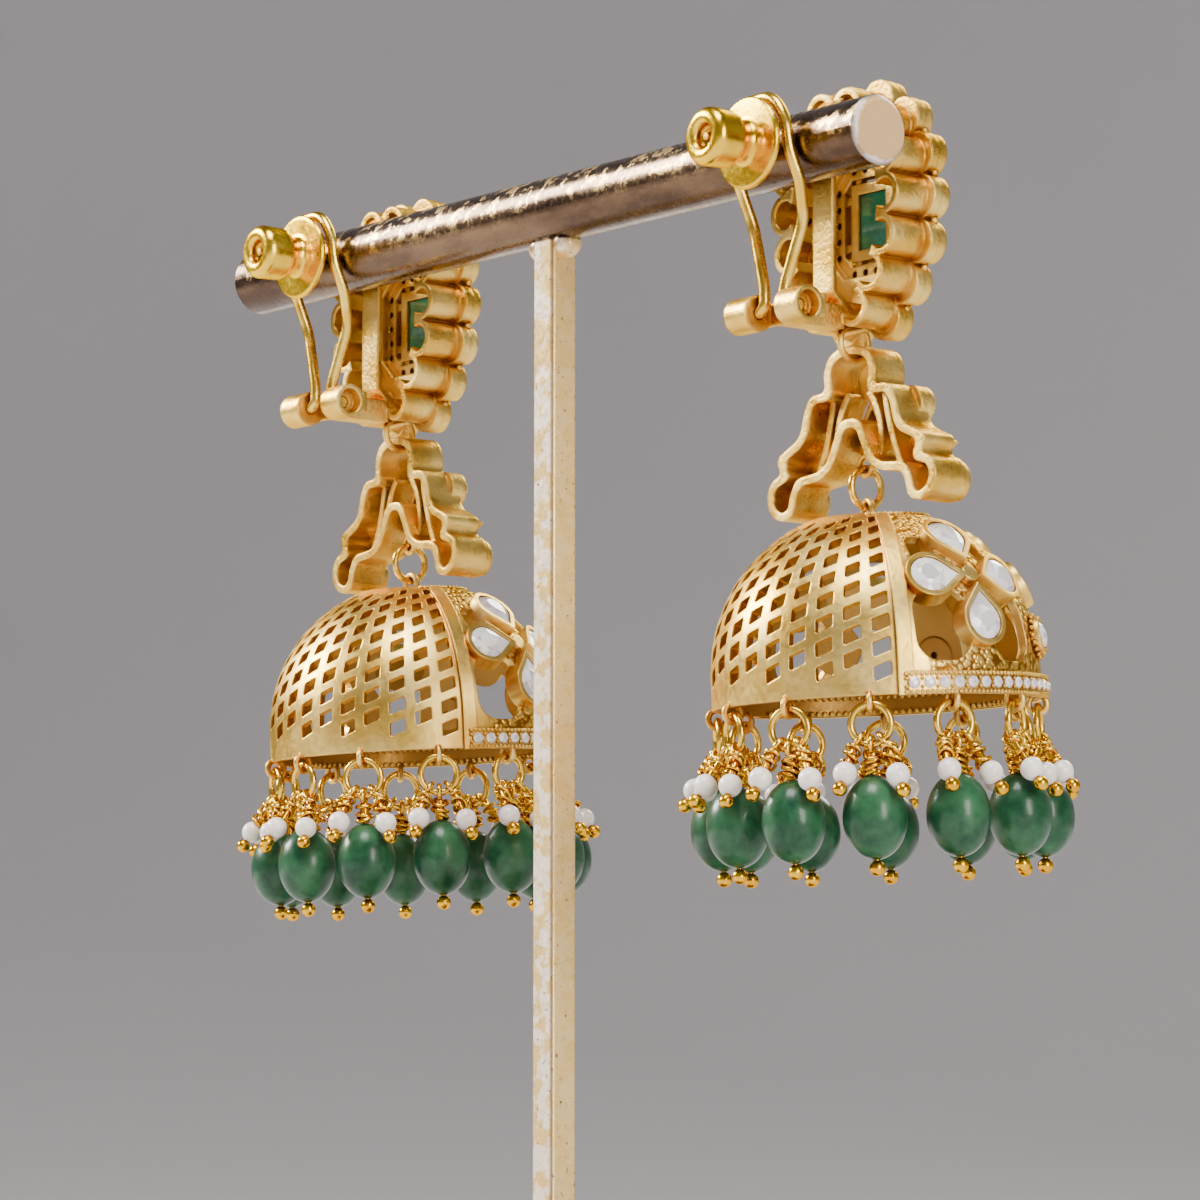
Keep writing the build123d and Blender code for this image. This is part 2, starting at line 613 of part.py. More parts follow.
# ---------------------------------------------------------------- bell, drawn about its own axis
def section_points(radius, top):
    """Where a sphere of the bell's section meets its flat top, and a point on the arc below."""
    crown = math.acos((top - BELL_CENTRE_Z) / radius)
    shoulder = (crown + math.pi / 2) / 2
    return [(radius * math.sin(t), BELL_CENTRE_Z + radius * math.cos(t)) for t in (crown, shoulder)]


def on_circle(radius, down):
    """A point of the bell's section, down degrees from the crown."""
    t = math.radians(down)
    return (radius * math.sin(t), BELL_CENTRE_Z + radius * math.cos(t))


def on_section(around):
    """Upright plane through the bell's axis, local x outward and local y up."""
    a = math.radians(around)
    outward = (math.sin(a), math.cos(a), 0)
    return Plane(origin=(0, 0, 0), x_dir=outward, z_dir=(math.cos(a), -math.sin(a), 0))


petals = [
    (around + turn, down_angle(z) + drop_by, tip)
    for around, z in FLOWERS
    for turn, drop_by, tip in PETALS
]

rib_out = [on_circle(RIB_OUT, down) for down in (RIB_TOP_ANGLE, RIB_MID_ANGLE)]
rib_in = [on_circle(RIB_IN, down) for down in (RIB_TOP_ANGLE, RIB_MID_ANGLE)]
crown_out, shoulder_out = section_points(BELL_RADIUS, BELL_TOP_Z)
crown_in, shoulder_in = section_points(INNER_RADIUS, BELL_TOP_Z - BELL_SHELL)
with BuildPart() as bell:
    with BuildSketch(Plane.XZ):
        with BuildLine():
            Line((0, BELL_TOP_Z - BELL_SHELL), (0, BELL_TOP_Z))
            Line((0, BELL_TOP_Z), crown_out)
            ThreePointArc(crown_out, shoulder_out, (BELL_RADIUS, BELL_CENTRE_Z))
            Line((BELL_RADIUS, BELL_CENTRE_Z), (BELL_RADIUS, BELL_RIM_Z))
            Line((BELL_RADIUS, BELL_RIM_Z), (INNER_RADIUS, BELL_RIM_Z))
            Line((INNER_RADIUS, BELL_RIM_Z), (INNER_RADIUS, BELL_CENTRE_Z))
            ThreePointArc((INNER_RADIUS, BELL_CENTRE_Z), shoulder_in, crown_in)
            Line(crown_in, (0, BELL_TOP_Z - BELL_SHELL))
        make_face()
    revolve(axis=Axis.Z)
    # side ribs between the lattice and the flowers
    for middle in (-SIDE_RIB_ANGLE, SIDE_RIB_ANGLE):
        with BuildSketch(on_section(middle)):
            with BuildLine():
                Line((RIB_IN, RIB_FOOT_Z), (RIB_OUT, RIB_FOOT_Z))
                Line((RIB_OUT, RIB_FOOT_Z), (RIB_OUT, BELL_CENTRE_Z))
                ThreePointArc((RIB_OUT, BELL_CENTRE_Z), rib_out[1], rib_out[0])
                Line(rib_out[0], rib_in[0])
                ThreePointArc(rib_in[0], rib_in[1], (RIB_IN, BELL_CENTRE_Z))
                Line((RIB_IN, BELL_CENTRE_Z), (RIB_IN, RIB_FOOT_Z))
            make_face()
        extrude(amount=SIDE_RIB_WIDTH / 2, both=True)
    # raised band on the front half
    with BuildSketch(Plane.XY.offset(RIB_FOOT_Z + SEAT_GAP)):
        Circle(BELL_RADIUS + BAND_RISE)
        Circle(BELL_RADIUS - BAND_BITE, mode=Mode.SUBTRACT)
        band_y = BELL_RADIUS * math.cos(math.radians(SIDE_RIB_ANGLE))
        with Locations((0, band_y + BELL_RADIUS)):
            Rectangle(3 * BELL_RADIUS, 2 * BELL_RADIUS, mode=Mode.SUBTRACT)
    extrude(amount=BAND_TOP_Z - RIB_FOOT_Z)
    # windows beside the flowers
    for around, z in FLOWERS:
        for turn, drop_by, half_width, half_height in WINDOWS:
            with BuildSketch(bell_plane(around + turn, down_angle(z) + drop_by, CUT_ABOVE)):
                RectangleRounded(2 * half_width, 2 * half_height, 0.8 * half_width)
    extrude(amount=-CUT_DEPTH, mode=Mode.SUBTRACT)
    # petal collets, round collets and a bud in each flower's middle
    for around, down, tip in petals:
        with BuildSketch(bell_plane(around, down, PETAL_RISE)):
            with Locations(Location((0, 0), tip)):
                teardrop(PETAL_RADIUS, PETAL_REACH, PETAL_WALL)
        extrude(amount=-PETAL_RISE - PETAL_SINK)
    for around, z in SIDE_CUPS:
        with BuildSketch(bell_plane(around, down_angle(z), PETAL_RISE)):
            Circle(SIDE_CUP_RADIUS)
        extrude(amount=-PETAL_RISE - PETAL_SINK)
    for around, z in FLOWERS:
        with BuildSketch(bell_plane(around, down_angle(z), PETAL_RISE)):
            Circle(BUD_RADIUS)
        extrude(amount=-PETAL_RISE - BUD_SINK)
    for around, down, tip in petals:
        with BuildSketch(bell_plane(around, down, PETAL_RISE + POCKET_ABOVE)):
            with Locations(Location((0, 0), tip)):
                teardrop(PETAL_RADIUS, PETAL_REACH, 0)
        extrude(amount=PETAL_SEAT - PETAL_RISE - POCKET_ABOVE, mode=Mode.SUBTRACT)
    for around, z in SIDE_CUPS:
        with BuildSketch(bell_plane(around, down_angle(z), PETAL_RISE + POCKET_ABOVE)):
            Circle(SIDE_CUP_RADIUS - SIDE_CUP_WALL)
        extrude(amount=PETAL_SEAT - PETAL_RISE - POCKET_ABOVE, mode=Mode.SUBTRACT)
        with BuildSketch(bell_plane(around, down_angle(z), PETAL_RISE + POCKET_ABOVE)):
            Circle(CUP_VENT_RADIUS)
        extrude(amount=-VENT_DEPTH, mode=Mode.SUBTRACT)
    # lattice over the back half: the holes of a column stand a little lower than the last one's
    column_half = math.radians(COLUMN_STEP) / 2 * BELL_RADIUS
    tall = LATTICE_SHARE * math.radians(ROW_PITCH) / 2 * BELL_RADIUS
    for column in range(LATTICE_COLUMNS):
        around = (column - (LATTICE_COLUMNS - 1) / 2) * COLUMN_STEP
        down = LATTICE_LOWEST - ROW_PITCH * (-COLUMN_SHIFT * column % 1)
        while down >= LATTICE_HIGHEST:
            narrowing = math.sin(math.radians(min(down, 90)))
            wide = LATTICE_SHARE * column_half * narrowing
            skew = wide * COLUMN_SHIFT * ROW_PITCH / COLUMN_STEP / narrowing
            with BuildSketch(bell_plane(around, down, CUT_ABOVE)) as hole:
                Polygon(
                    (-wide, -tall - skew), (wide, -tall + skew), (wide, tall + skew), (-wide, tall - skew),
                    align=None,
                )
                fillet(hole.vertices(), min(HOLE_ROUND, wide / 2))
            down -= ROW_PITCH
        extrude(amount=-CUT_DEPTH, mode=Mode.SUBTRACT)
    # loop on the crown and loops under the rim
    with Locations((0, 0, BELL_LOOP_Z)):
        Torus(EYELET_MEAN, EYELET_WIRE, rotation=(90, 0, 0))
    with PolarLocations(RIM_LOOP_R, CLUSTERS):
        with Locations((0, 0, RIM_LOOP_Z)):
            Torus(RIM_LOOP_MEAN, RIM_LOOP_WIRE, rotation=(90, 0, 0))

with BuildPart() as bell_stones:
    for around, down, tip in petals:
        with BuildSketch(bell_plane(around, down, PETAL_SEAT + SEAT_GAP)):
            with Locations(Location((0, 0), tip)):
                teardrop(PETAL_RADIUS, PETAL_REACH, -STONE_GAP)
        extrude(amount=PETAL_RISE + PETAL_SEAT)
    for around, z in SIDE_CUPS:
        with BuildSketch(bell_plane(around, down_angle(z), PETAL_SEAT + SEAT_GAP)):
            Circle(SIDE_CUP_RADIUS - SIDE_CUP_WALL - STONE_GAP)
        extrude(amount=PETAL_RISE + PETAL_SEAT)


# ---------------------------------------------------------------- one fringe cluster, y outward
foot_z = JUMP_Z - JUMP_MEAN
pearl_rows = []
for foot_angle, middle in PEARL_PINS:
    a = math.radians(foot_angle)
    eye = Vector(JUMP_MEAN * math.sin(a), 0, JUMP_Z - JUMP_MEAN * math.cos(a))
    tangent = Vector(math.cos(a), 0, math.sin(a))
    pearl = Vector(*middle)
    away = pearl - eye
    across = (away - tangent * away.dot(tangent)).normalized()
    start = eye + across * EYE_MEAN
    along = (pearl - start).normalized()
    pearl_rows.append((eye, tangent, start, pearl, along))

bead_mid = BEAD_TOP_Z - BEAD_HALF_HEIGHT
with BuildPart() as cluster_metal:
    with Locations((0, 0, JUMP_Z)):
        Torus(JUMP_MEAN, JUMP_WIRE, rotation=(90, 0, 0))
    with Locations((0, 0, foot_z)):
        Torus(EYE_MEAN, EYE_WIRE, rotation=(0, 90, 0))
    wrap_top = foot_z - EYE_MEAN
    tip_z = BEAD_TOP_Z - 2 * BEAD_HALF_HEIGHT - BEAD_TIP_RADIUS - WRAP_GAP
    with BuildSketch(Plane.XY.offset(wrap_top)):
        Circle(WRAP_RADIUS)
    extrude(amount=BEAD_TOP_Z + SEAT_GAP - wrap_top)
    with BuildSketch(Plane.XY.offset(wrap_top - EYE_LAP)):
        Circle(PIN_RADIUS)
    extrude(amount=tip_z - wrap_top + EYE_LAP)
    with Locations((0, 0, tip_z)):
        Sphere(BEAD_TIP_RADIUS)
    for eye, tangent, start, pearl, along in pearl_rows:
        with Locations(Plane(origin=eye, z_dir=tangent)):
            Torus(EYE_MEAN, EYE_WIRE)
        wrap_length = (pearl - start).length - PEARL_RADIUS - WRAP_GAP
        with BuildSketch(Plane(origin=start, z_dir=along)):
            Circle(WRAP_RADIUS * PEARL_WRAP_SHARE)
        extrude(amount=wrap_length)
        with BuildSketch(Plane(origin=start, z_dir=along)):
            Circle(PIN_RADIUS)
        extrude(amount=wrap_length + 2 * PEARL_RADIUS + PEARL_TIP_RADIUS)
        with Locations(pearl + along * (PEARL_RADIUS + PEARL_TIP_RADIUS - BORE_GAP)):
            Sphere(PEARL_TIP_RADIUS)

with BuildPart() as cluster_pearls:
    for eye, tangent, start, pearl, along in pearl_rows:
        beside = along.cross(Vector(0, 1, 0)).normalized()
        with BuildSketch(Plane(origin=pearl, x_dir=beside, z_dir=beside.cross(along))):
            Circle(PEARL_RADIUS)
            with Locations((-PEARL_RADIUS + PIN_RADIUS + BORE_GAP, 0)):
                Rectangle(2 * PEARL_RADIUS, 3 * PEARL_RADIUS, mode=Mode.SUBTRACT)
            with Locations((0, PEARL_RADIUS + PEARL_TIP_RADIUS)):
                Circle(PEARL_TIP_RADIUS + BORE_GAP, mode=Mode.SUBTRACT)
        revolve(axis=Axis(pearl, along))

with BuildPart() as cluster_bead:
    with BuildSketch(Plane.XZ):
        with Locations((0, bead_mid)):
            Ellipse(BEAD_RADIUS, BEAD_HALF_HEIGHT)
        with Locations((-BEAD_RADIUS, bead_mid)):
            Rectangle(2 * BEAD_RADIUS, 3 * BEAD_HALF_HEIGHT, mode=Mode.SUBTRACT)
    revolve(axis=Axis.Z)
    with Locations((0, 0, bead_mid)):
        Cylinder(PIN_RADIUS + BORE_GAP, 3 * BEAD_HALF_HEIGHT, mode=Mode.SUBTRACT)
    with Locations((0, 0, tip_z)):
        Sphere(BEAD_TIP_RADIUS + WRAP_GAP, mode=Mode.SUBTRACT)


# ---------------------------------------------------------------- setting the pieces in place
def cluster_place(index):
    """Where a cluster hangs, in the bell's own axes: its x runs along the rim, its y outward."""
    angle = 360 / CLUSTERS * index
    a = math.radians(angle)
    at = (RIM_LOOP_R * math.cos(a), RIM_LOOP_R * math.sin(a), 0)
    return Location(at, (0, 0, angle - 90 + CLUSTER_TURNS[index]))


def gather(pieces):
    """Loose solids as one compound."""
    return Compound(children=[solid for piece in pieces for solid in piece.solids()])


for side, ear_x, drop_turn, bell_turn in EARS:
    ear = Location((ear_x, 0, BAR_HEIGHT))
    turn_axis = Location((0, HANG_Y, 0))
    hang = ear * turn_axis * Location((0, 0, 0), (0, 0, drop_turn)) * turn_axis.inverse()
    pivot = Location((0, BELL_Y, EYELET_Z - EYELET_MEAN))
    tip_down = pivot * Location((0, 0, 0), (-BELL_TILT, 0, 0)) * pivot.inverse()
    bell_at = hang * tip_down * Location((0, BELL_Y, 0)) * Location((0, 0, 0), (0, 0, bell_turn))
    for piece, name, place in (
        (plate, "plate", ear),
        (plate_stones, "plate_stones", ear),
        (centre_stone, "centre_stone", ear),
        (omega_lever, "omega_lever", ear),
        (clutch, "clutch", ear),
        (link_ring, "link_ring", ear),
        (drop, "drop", hang),
        (drop_stones, "drop_stones", hang),
        (drop_bead, "drop_bead", hang),
        (bell_link, "bell_link", hang),
        (bell, "bell", bell_at),
        (bell_stones, "bell_stones", bell_at),
    ):
        save(piece.part.moved(place), side + "_" + name)
    places = [bell_at * cluster_place(index) for index in range(CLUSTERS)]
    save(gather([cluster_metal.part.moved(place) for place in places]), side + "_fringe_pins")
    save(gather([cluster_pearls.part.moved(place) for place in places]), side + "_pearls")
    for index, place in enumerate(places):
        save(cluster_bead.part.moved(place), side + "_bead_" + str(index + 1))
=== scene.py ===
import bpy
import math
import random
from mathutils import Matrix, Vector


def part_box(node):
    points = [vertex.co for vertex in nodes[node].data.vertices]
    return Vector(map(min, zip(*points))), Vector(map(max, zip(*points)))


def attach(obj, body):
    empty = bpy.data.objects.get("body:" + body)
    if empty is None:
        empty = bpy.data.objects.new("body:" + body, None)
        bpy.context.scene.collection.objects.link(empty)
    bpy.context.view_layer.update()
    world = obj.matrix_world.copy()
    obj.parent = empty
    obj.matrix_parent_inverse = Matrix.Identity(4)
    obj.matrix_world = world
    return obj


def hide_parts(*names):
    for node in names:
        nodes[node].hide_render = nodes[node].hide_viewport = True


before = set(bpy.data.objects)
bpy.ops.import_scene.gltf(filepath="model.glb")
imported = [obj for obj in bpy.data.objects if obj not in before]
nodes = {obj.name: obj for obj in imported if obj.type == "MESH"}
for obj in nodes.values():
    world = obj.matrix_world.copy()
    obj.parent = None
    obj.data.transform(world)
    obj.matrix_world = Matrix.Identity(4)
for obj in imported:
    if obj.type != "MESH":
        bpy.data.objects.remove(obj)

# A pair of bell-shaped ear drops on a T stand. The pieces are laid out in millimetres about
# each ear post, where it crosses the crossbar, and are then turned into metres in the frame.
random.seed(41)
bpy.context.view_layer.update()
metresPerMillimetre = 0.001

# layout of the two ear drops
layout = {
    "hangY": -8.8,
    "bellY": -10.5,
    "pivotZ": -35.5,
    "tilt": 3.0,
    "sides": {
        "left": {"dropTurn": 0.0, "bellTurn": -14.0},
        "right": {"dropTurn": -3.0, "bellTurn": 4.4},
    },
}


def shift(x, y, z):
    return Matrix.Translation((x, y, z))


def turn(degrees, axis):
    return Matrix.Rotation(math.radians(degrees), 4, axis)


def sidePlaces(side):
    # where the ear top, the openwork drop and the bell of one side stand
    row = layout["sides"][side]
    low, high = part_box(side + "_clutch")  # the clutch sits on the ear post's own axis
    earX, earZ = ((low[n] + high[n]) / 2 / metresPerMillimetre for n in (0, 2))
    ear = shift(earX, 0, earZ)
    hangAxis = shift(0, layout["hangY"], 0)
    drop = ear @ hangAxis @ turn(row["dropTurn"], "Z") @ hangAxis.inverted()
    pivot = shift(0, layout["bellY"], layout["pivotZ"])
    tipDown = pivot @ turn(-layout["tilt"], "X") @ pivot.inverted()
    bell = drop @ tipDown @ shift(0, layout["bellY"], 0) @ turn(row["bellTurn"], "Z")
    return {"ear": ear, "drop": drop, "bell": bell}


bell = {
    "radius": 18.3,
    "centreZ": -57.5,
    "bandRise": 0.6,
    "flowers": ((103.0, -48.4), (180.0, -48.4), (257.0, -48.4)),
    "petals": ((-18.0, 0.5, 0.0), (18.0, 0.5, 180.0), (0.0, -17.5, 90.0), (0.0, 17.0, -90.0)),
    "petalRadius": 2.25,
    "petalReach": 3.4,
    "petalTrim": -0.06,
    "petalSeat": 0.15,
    "girdle": 0.62,
    "dome": 0.5,
    "sideStoneRadius": 1.49,
    "sideCups": ((141.5, -54.6), (218.5, -54.6)),
    "ribAngle": 72.5,
}


# small tools for node trees
def feed(tree, socket, value):
    # a socket takes a link or a plain value; colours are written as three numbers
    if isinstance(value, bpy.types.NodeSocket):
        tree.links.new(value, socket)
    elif socket.type == "RGBA" and len(value) == 3:
        socket.default_value = (*value, 1.0)
    else:
        socket.default_value = value


def addNode(tree, kind, inputs=None, **settings):
    made = tree.nodes.new(kind)
    for key, value in settings.items():
        setattr(made, key, value)
    for key, value in (inputs or {}).items():
        feed(tree, made.inputs[key], value)
    return made


def mixColour(tree, factor, first, second):
    made = addNode(tree, "ShaderNodeMix", {0: factor, 6: first, 7: second}, data_type="RGBA")
    return made.outputs[2]


def mathNode(tree, operation, first, second=0.0):
    return addNode(tree, "ShaderNodeMath", {0: first, 1: second}, operation=operation).outputs[0]


def mapRange(tree, value, low, high, toLow=0.0, toHigh=1.0):
    made = addNode(tree, "ShaderNodeMapRange", {
        "Value": value, "From Min": low, "From Max": high, "To Min": toLow, "To Max": toHigh,
    })
    return made.outputs["Result"]


def noiseNode(tree, vector, scale, detail=4.0, roughness=0.5, distortion=0.0):
    made = addNode(tree, "ShaderNodeTexNoise", {
        "Vector": vector, "Scale": scale, "Detail": detail, "Roughness": roughness, "Distortion": distortion,
    })
    return made.outputs["Fac"]


def coordinates(tree, kind="Object"):
    return addNode(tree, "ShaderNodeTexCoord").outputs[kind]


def axesOf(tree, vector):
    return addNode(tree, "ShaderNodeSeparateXYZ", {"Vector": vector}).outputs


def newGroup(name, inputs, outputs):
    # a shader node group with named sockets, its input node and its output node
    group = bpy.data.node_groups.new(name, "ShaderNodeTree")
    for label, kind, value in inputs:
        socket = group.interface.new_socket(name=label, in_out="INPUT", socket_type=kind)
        socket.default_value = value
    for label, kind in outputs:
        group.interface.new_socket(name=label, in_out="OUTPUT", socket_type=kind)
    return group, group.nodes.new("NodeGroupInput"), group.nodes.new("NodeGroupOutput")


def useGroup(tree, group, **values):
    made = tree.nodes.new("ShaderNodeGroup")
    made.node_tree = group
    for key, value in values.items():
        feed(tree, made.inputs[key], value)
    return made


# shared effects
castLook = {
    "worn": (0.38, 0.66), "open": (0.30, 0.86), "uneven": (0.35, 0.65),
    "occlusionSamples": 6, "bevelSamples": 4,
}


def makeCastMetal():
    # soft cast or plated metal: lighter worn patches, painted shade in the recesses, fine grain
    group, given, result = newGroup(
        "castMetal",
        [
            ("Base", "NodeSocketColor", (0.8, 0.6, 0.3, 1.0)),
            ("Light", "NodeSocketColor", (0.9, 0.75, 0.45, 1.0)),
            ("Recess", "NodeSocketColor", (0.35, 0.14, 0.03, 1.0)),
            ("Patch", "NodeSocketFloat", 260.0),
            ("Grain", "NodeSocketFloat", 2600.0),
            ("Reach", "NodeSocketFloat", 0.0016),
            ("Smooth", "NodeSocketFloat", 0.25),
            ("Rough", "NodeSocketFloat", 0.5),
            ("Edge", "NodeSocketFloat", 0.0003),
        ],
        [("Color", "NodeSocketColor"), ("Roughness", "NodeSocketFloat"), ("Height", "NodeSocketFloat"),
         ("Normal", "NodeSocketVector")],
    )
    coords = coordinates(group)
    patch = noiseNode(group, coords, given.outputs["Patch"], 3.0)
    grain = noiseNode(group, coords, given.outputs["Grain"])
    worn = mapRange(group, patch, *castLook["worn"])
    colour = mixColour(group, worn, given.outputs["Base"], given.outputs["Light"])
    # painted shade: a darker warm colour where nearby surfaces close in on a spot
    nearby = addNode(group, "ShaderNodeAmbientOcclusion", {"Distance": given.outputs["Reach"]},
                     samples=castLook["occlusionSamples"])
    recessShadeMask = mapRange(group, nearby.outputs["AO"], *castLook["open"], 1.0, 0.0)
    colour = mixColour(group, recessShadeMask, colour, given.outputs["Recess"])
    blend = mathNode(group, "MULTIPLY", mathNode(group, "ADD", grain, patch), 0.5)
    span = mathNode(group, "SUBTRACT", given.outputs["Rough"], given.outputs["Smooth"])
    uneven = mapRange(group, blend, *castLook["uneven"])
    rough = mathNode(group, "ADD", given.outputs["Smooth"], mathNode(group, "MULTIPLY", uneven, span))
    group.links.new(colour, result.inputs["Color"])
    group.links.new(rough, result.inputs["Roughness"])
    group.links.new(blend, result.inputs["Height"])
    # cast edges are never sharp
    soft = addNode(group, "ShaderNodeBevel", {"Radius": given.outputs["Edge"]},
                   samples=castLook["bevelSamples"])
    group.links.new(soft.outputs["Normal"], result.inputs["Normal"])
    return group


def makeSpeckles():
    # irregular ragged spots, as where foil or lacquer has flaked
    group, given, result = newGroup(
        "speckles",
        [
            ("Scale", "NodeSocketFloat", 900.0),
            ("Amount", "NodeSocketFloat", 0.5),
            ("Soft", "NodeSocketFloat", 0.06),
        ],
        [("Mask", "NodeSocketFloat")],
    )
    coords = coordinates(group)
    wide = noiseNode(group, coords, given.outputs["Scale"], 5.0, 0.62)
    edge = mathNode(group, "SUBTRACT", 1.0, given.outputs["Amount"])
    high = mathNode(group, "ADD", edge, given.outputs["Soft"])
    group.links.new(mapRange(group, wide, edge, high), result.inputs["Mask"])
    return group


cloudLook = {"twist": 0.6, "cloudShare": 0.7, "veinShare": 0.3, "milky": (0.38, 0.62)}


def makeClouds():
    # milky clouds and veils inside stones and beads
    group, given, result = newGroup(
        "clouds",
        [
            ("Deep", "NodeSocketColor", (0.05, 0.3, 0.15, 1.0)),
            ("Milky", "NodeSocketColor", (0.2, 0.5, 0.3, 1.0)),
            ("Scale", "NodeSocketFloat", 220.0),
            ("Veins", "NodeSocketFloat", 900.0),
        ],
        [("Color", "NodeSocketColor"), ("Height", "NodeSocketFloat")],
    )
    coords = coordinates(group)
    cloud = noiseNode(group, coords, given.outputs["Scale"], distortion=cloudLook["twist"])
    vein = noiseNode(group, coords, given.outputs["Veins"], 5.0)
    broad = mathNode(group, "MULTIPLY", cloud, cloudLook["cloudShare"])
    blend = mathNode(group, "ADD", broad, mathNode(group, "MULTIPLY", vein, cloudLook["veinShare"]))
    milky = mapRange(group, blend, *cloudLook["milky"])
    colour = mixColour(group, milky, given.outputs["Deep"], given.outputs["Milky"])
    group.links.new(colour, result.inputs["Color"])
    group.links.new(blend, result.inputs["Height"])
    return group


def vectorNode(tree, operation, first, second=(0.0, 0.0, 0.0)):
    made = addNode(tree, "ShaderNodeVectorMath", {0: first, 1: second}, operation=operation)
    return made.outputs["Value" if operation == "DOT_PRODUCT" else "Vector"]


bellZoneLimits = {
    "insideFacing": (-0.75, -0.45), "wallFacing": (0.45, 0.80), "backHalf": (0.02, 0.10),
    "bareRise": (0.00008, 0.00020), "bareFacing": (0.90, 0.97), "frontHalf": (0.16, 0.10),
    "betweenSides": (-0.001, 0.001),
}


def makeBellZones():
    # masks for painted shade on the lattice: walls, the sides of the holes in a bell's back half; inside,
    # what faces its middle
    group, given, result = newGroup(
        "bellZones",
        [("Strength", "NodeSocketFloat", 1.0)],
        [("WallShade", "NodeSocketFloat"), ("Inside", "NodeSocketFloat"), ("Field", "NodeSocketFloat")],
    )
    limits = bellZoneLimits
    coords, normal = coordinates(group), coordinates(group, "Normal")
    sideways = mapRange(group, axesOf(group, coords)["X"], *limits["betweenSides"])
    middles, backs = [], []
    for side in layout["sides"]:
        place = sidePlaces(side)["bell"]
        middles.append(tuple(place @ Vector((0, 0, bell["centreZ"])) * metresPerMillimetre))
        backs.append(tuple(place.to_3x3() @ Vector((0, 1, 0))))
    picked = [
        addNode(group, "ShaderNodeMix", {0: sideways, 4: pair[0], 5: pair[1]}, data_type="VECTOR").outputs[1]
        for pair in (middles, backs)
    ]
    away = vectorNode(group, "SUBTRACT", coords, picked[0])
    out = vectorNode(group, "NORMALIZE", away)
    farOut = addNode(group, "ShaderNodeVectorMath", {0: away}, operation="LENGTH").outputs["Value"]
    outward = vectorNode(group, "DOT_PRODUCT", out, normal)
    facing = mathNode(group, "ABSOLUTE", outward)
    inside = mapRange(group, outward, *limits["insideFacing"], 1.0, 0.0)
    inside = mathNode(group, "MULTIPLY", inside, given.outputs["Strength"])
    along = mapRange(group, facing, *limits["wallFacing"], 1.0, 0.0)
    atBack = mapRange(group, vectorNode(group, "DOT_PRODUCT", out, picked[1]), *limits["backHalf"])
    walls = mathNode(group, "MULTIPLY", mathNode(group, "MULTIPLY", along, atBack), given.outputs["Strength"])
    group.links.new(walls, result.inputs["WallShade"])
    group.links.new(inside, result.inputs["Inside"])
    # the shell itself on the front half, without the raised collets, ribs and band
    shell = bell["radius"] * metresPerMillimetre
    lowRise, highRise = limits["bareRise"]
    bare = mapRange(group, farOut, shell + lowRise, shell + highRise, 1.0, 0.0)
    bare = mathNode(group, "MULTIPLY", bare, mapRange(group, outward, *limits["bareFacing"]))
    atFront = mapRange(group, vectorNode(group, "DOT_PRODUCT", out, picked[1]), *limits["frontHalf"])
    group.links.new(mathNode(group, "MULTIPLY", bare, atFront), result.inputs["Field"])
    return group


castMetal = makeCastMetal()
bellZones = makeBellZones()
speckles = makeSpeckles()
clouds = makeClouds()


def newMaterial(name, **constants):
    # an empty material with one Principled shader and plain values on its sockets
    material = bpy.data.materials.new(name)
    material.use_nodes = True
    tree = material.node_tree
    tree.nodes.clear()
    shader = tree.nodes.new("ShaderNodeBsdfPrincipled")
    output = tree.nodes.new("ShaderNodeOutputMaterial")
    tree.links.new(shader.outputs["BSDF"], output.inputs["Surface"])
    for key, value in constants.items():
        shader.inputs[key.replace("_", " ")].default_value = value
    return material, tree, shader


fineDepth = 0.00006  # metres of relief on stones and the stand


def bumpFrom(tree, shader, height, strength, distance, normal=None):
    bump = addNode(tree, "ShaderNodeBump", {"Height": height, "Strength": strength, "Distance": distance})
    if normal:
        tree.links.new(normal, bump.inputs["Normal"])
    tree.links.new(bump.outputs["Normal"], shader.inputs["Normal"])


# in each finish the recess colour is painted shade for hollows and crevices
goldFinishes = {
    "goldPlate": {
        "base": (0.72, 0.43, 0.06), "light": (0.90, 0.66, 0.19), "recessShade": (0.38, 0.15, 0.012),
        "patch": 230.0, "grain": 2300.0, "reach": 0.0018, "smooth": 0.26, "rough": 0.48, "edge": 0.00045,
        "bump": 0.6, "depth": 0.00024, "sheen": (0.98, 0.76, 0.38),
    },
    "goldLattice": {
        "base": (0.75, 0.48, 0.085), "light": (0.91, 0.68, 0.23), "recessShade": (0.36, 0.13, 0.01),
        "patch": 150.0, "grain": 1500.0, "reach": 0.0010, "smooth": 0.28, "rough": 0.46, "edge": 0.00028,
        "bump": 0.50, "depth": 0.00010, "sheen": (0.98, 0.76, 0.38),
    },
    "goldWire": {
        "base": (0.80, 0.49, 0.055), "light": (0.93, 0.68, 0.14), "recessShade": (0.44, 0.17, 0.01),
        "patch": 400.0, "grain": 3000.0, "reach": 0.0007, "smooth": 0.18, "rough": 0.34, "edge": 0.0002,
        "bump": 0.20, "depth": 0.00006, "sheen": (0.95, 0.68, 0.22),
    },
    "goldClutch": {
        "base": (0.82, 0.49, 0.020), "light": (0.94, 0.66, 0.06), "recessShade": (0.42, 0.17, 0.01),
        "patch": 300.0, "grain": 1900.0, "reach": 0.0012, "smooth": 0.15, "rough": 0.32, "edge": 0.0004,
        "bump": 0.40, "depth": 0.00010, "sheen": (0.93, 0.62, 0.08),
    },
    "orangeGold": {
        "base": (0.74, 0.37, 0.010), "light": (0.88, 0.52, 0.025), "recessShade": (0.36, 0.12, 0.0),
        "patch": 500.0, "grain": 2600.0, "reach": 0.0006, "smooth": 0.16, "rough": 0.30, "edge": 0.0001,
        "bump": 0.15, "depth": 0.00005, "sheen": (0.88, 0.54, 0.05),
    },
}
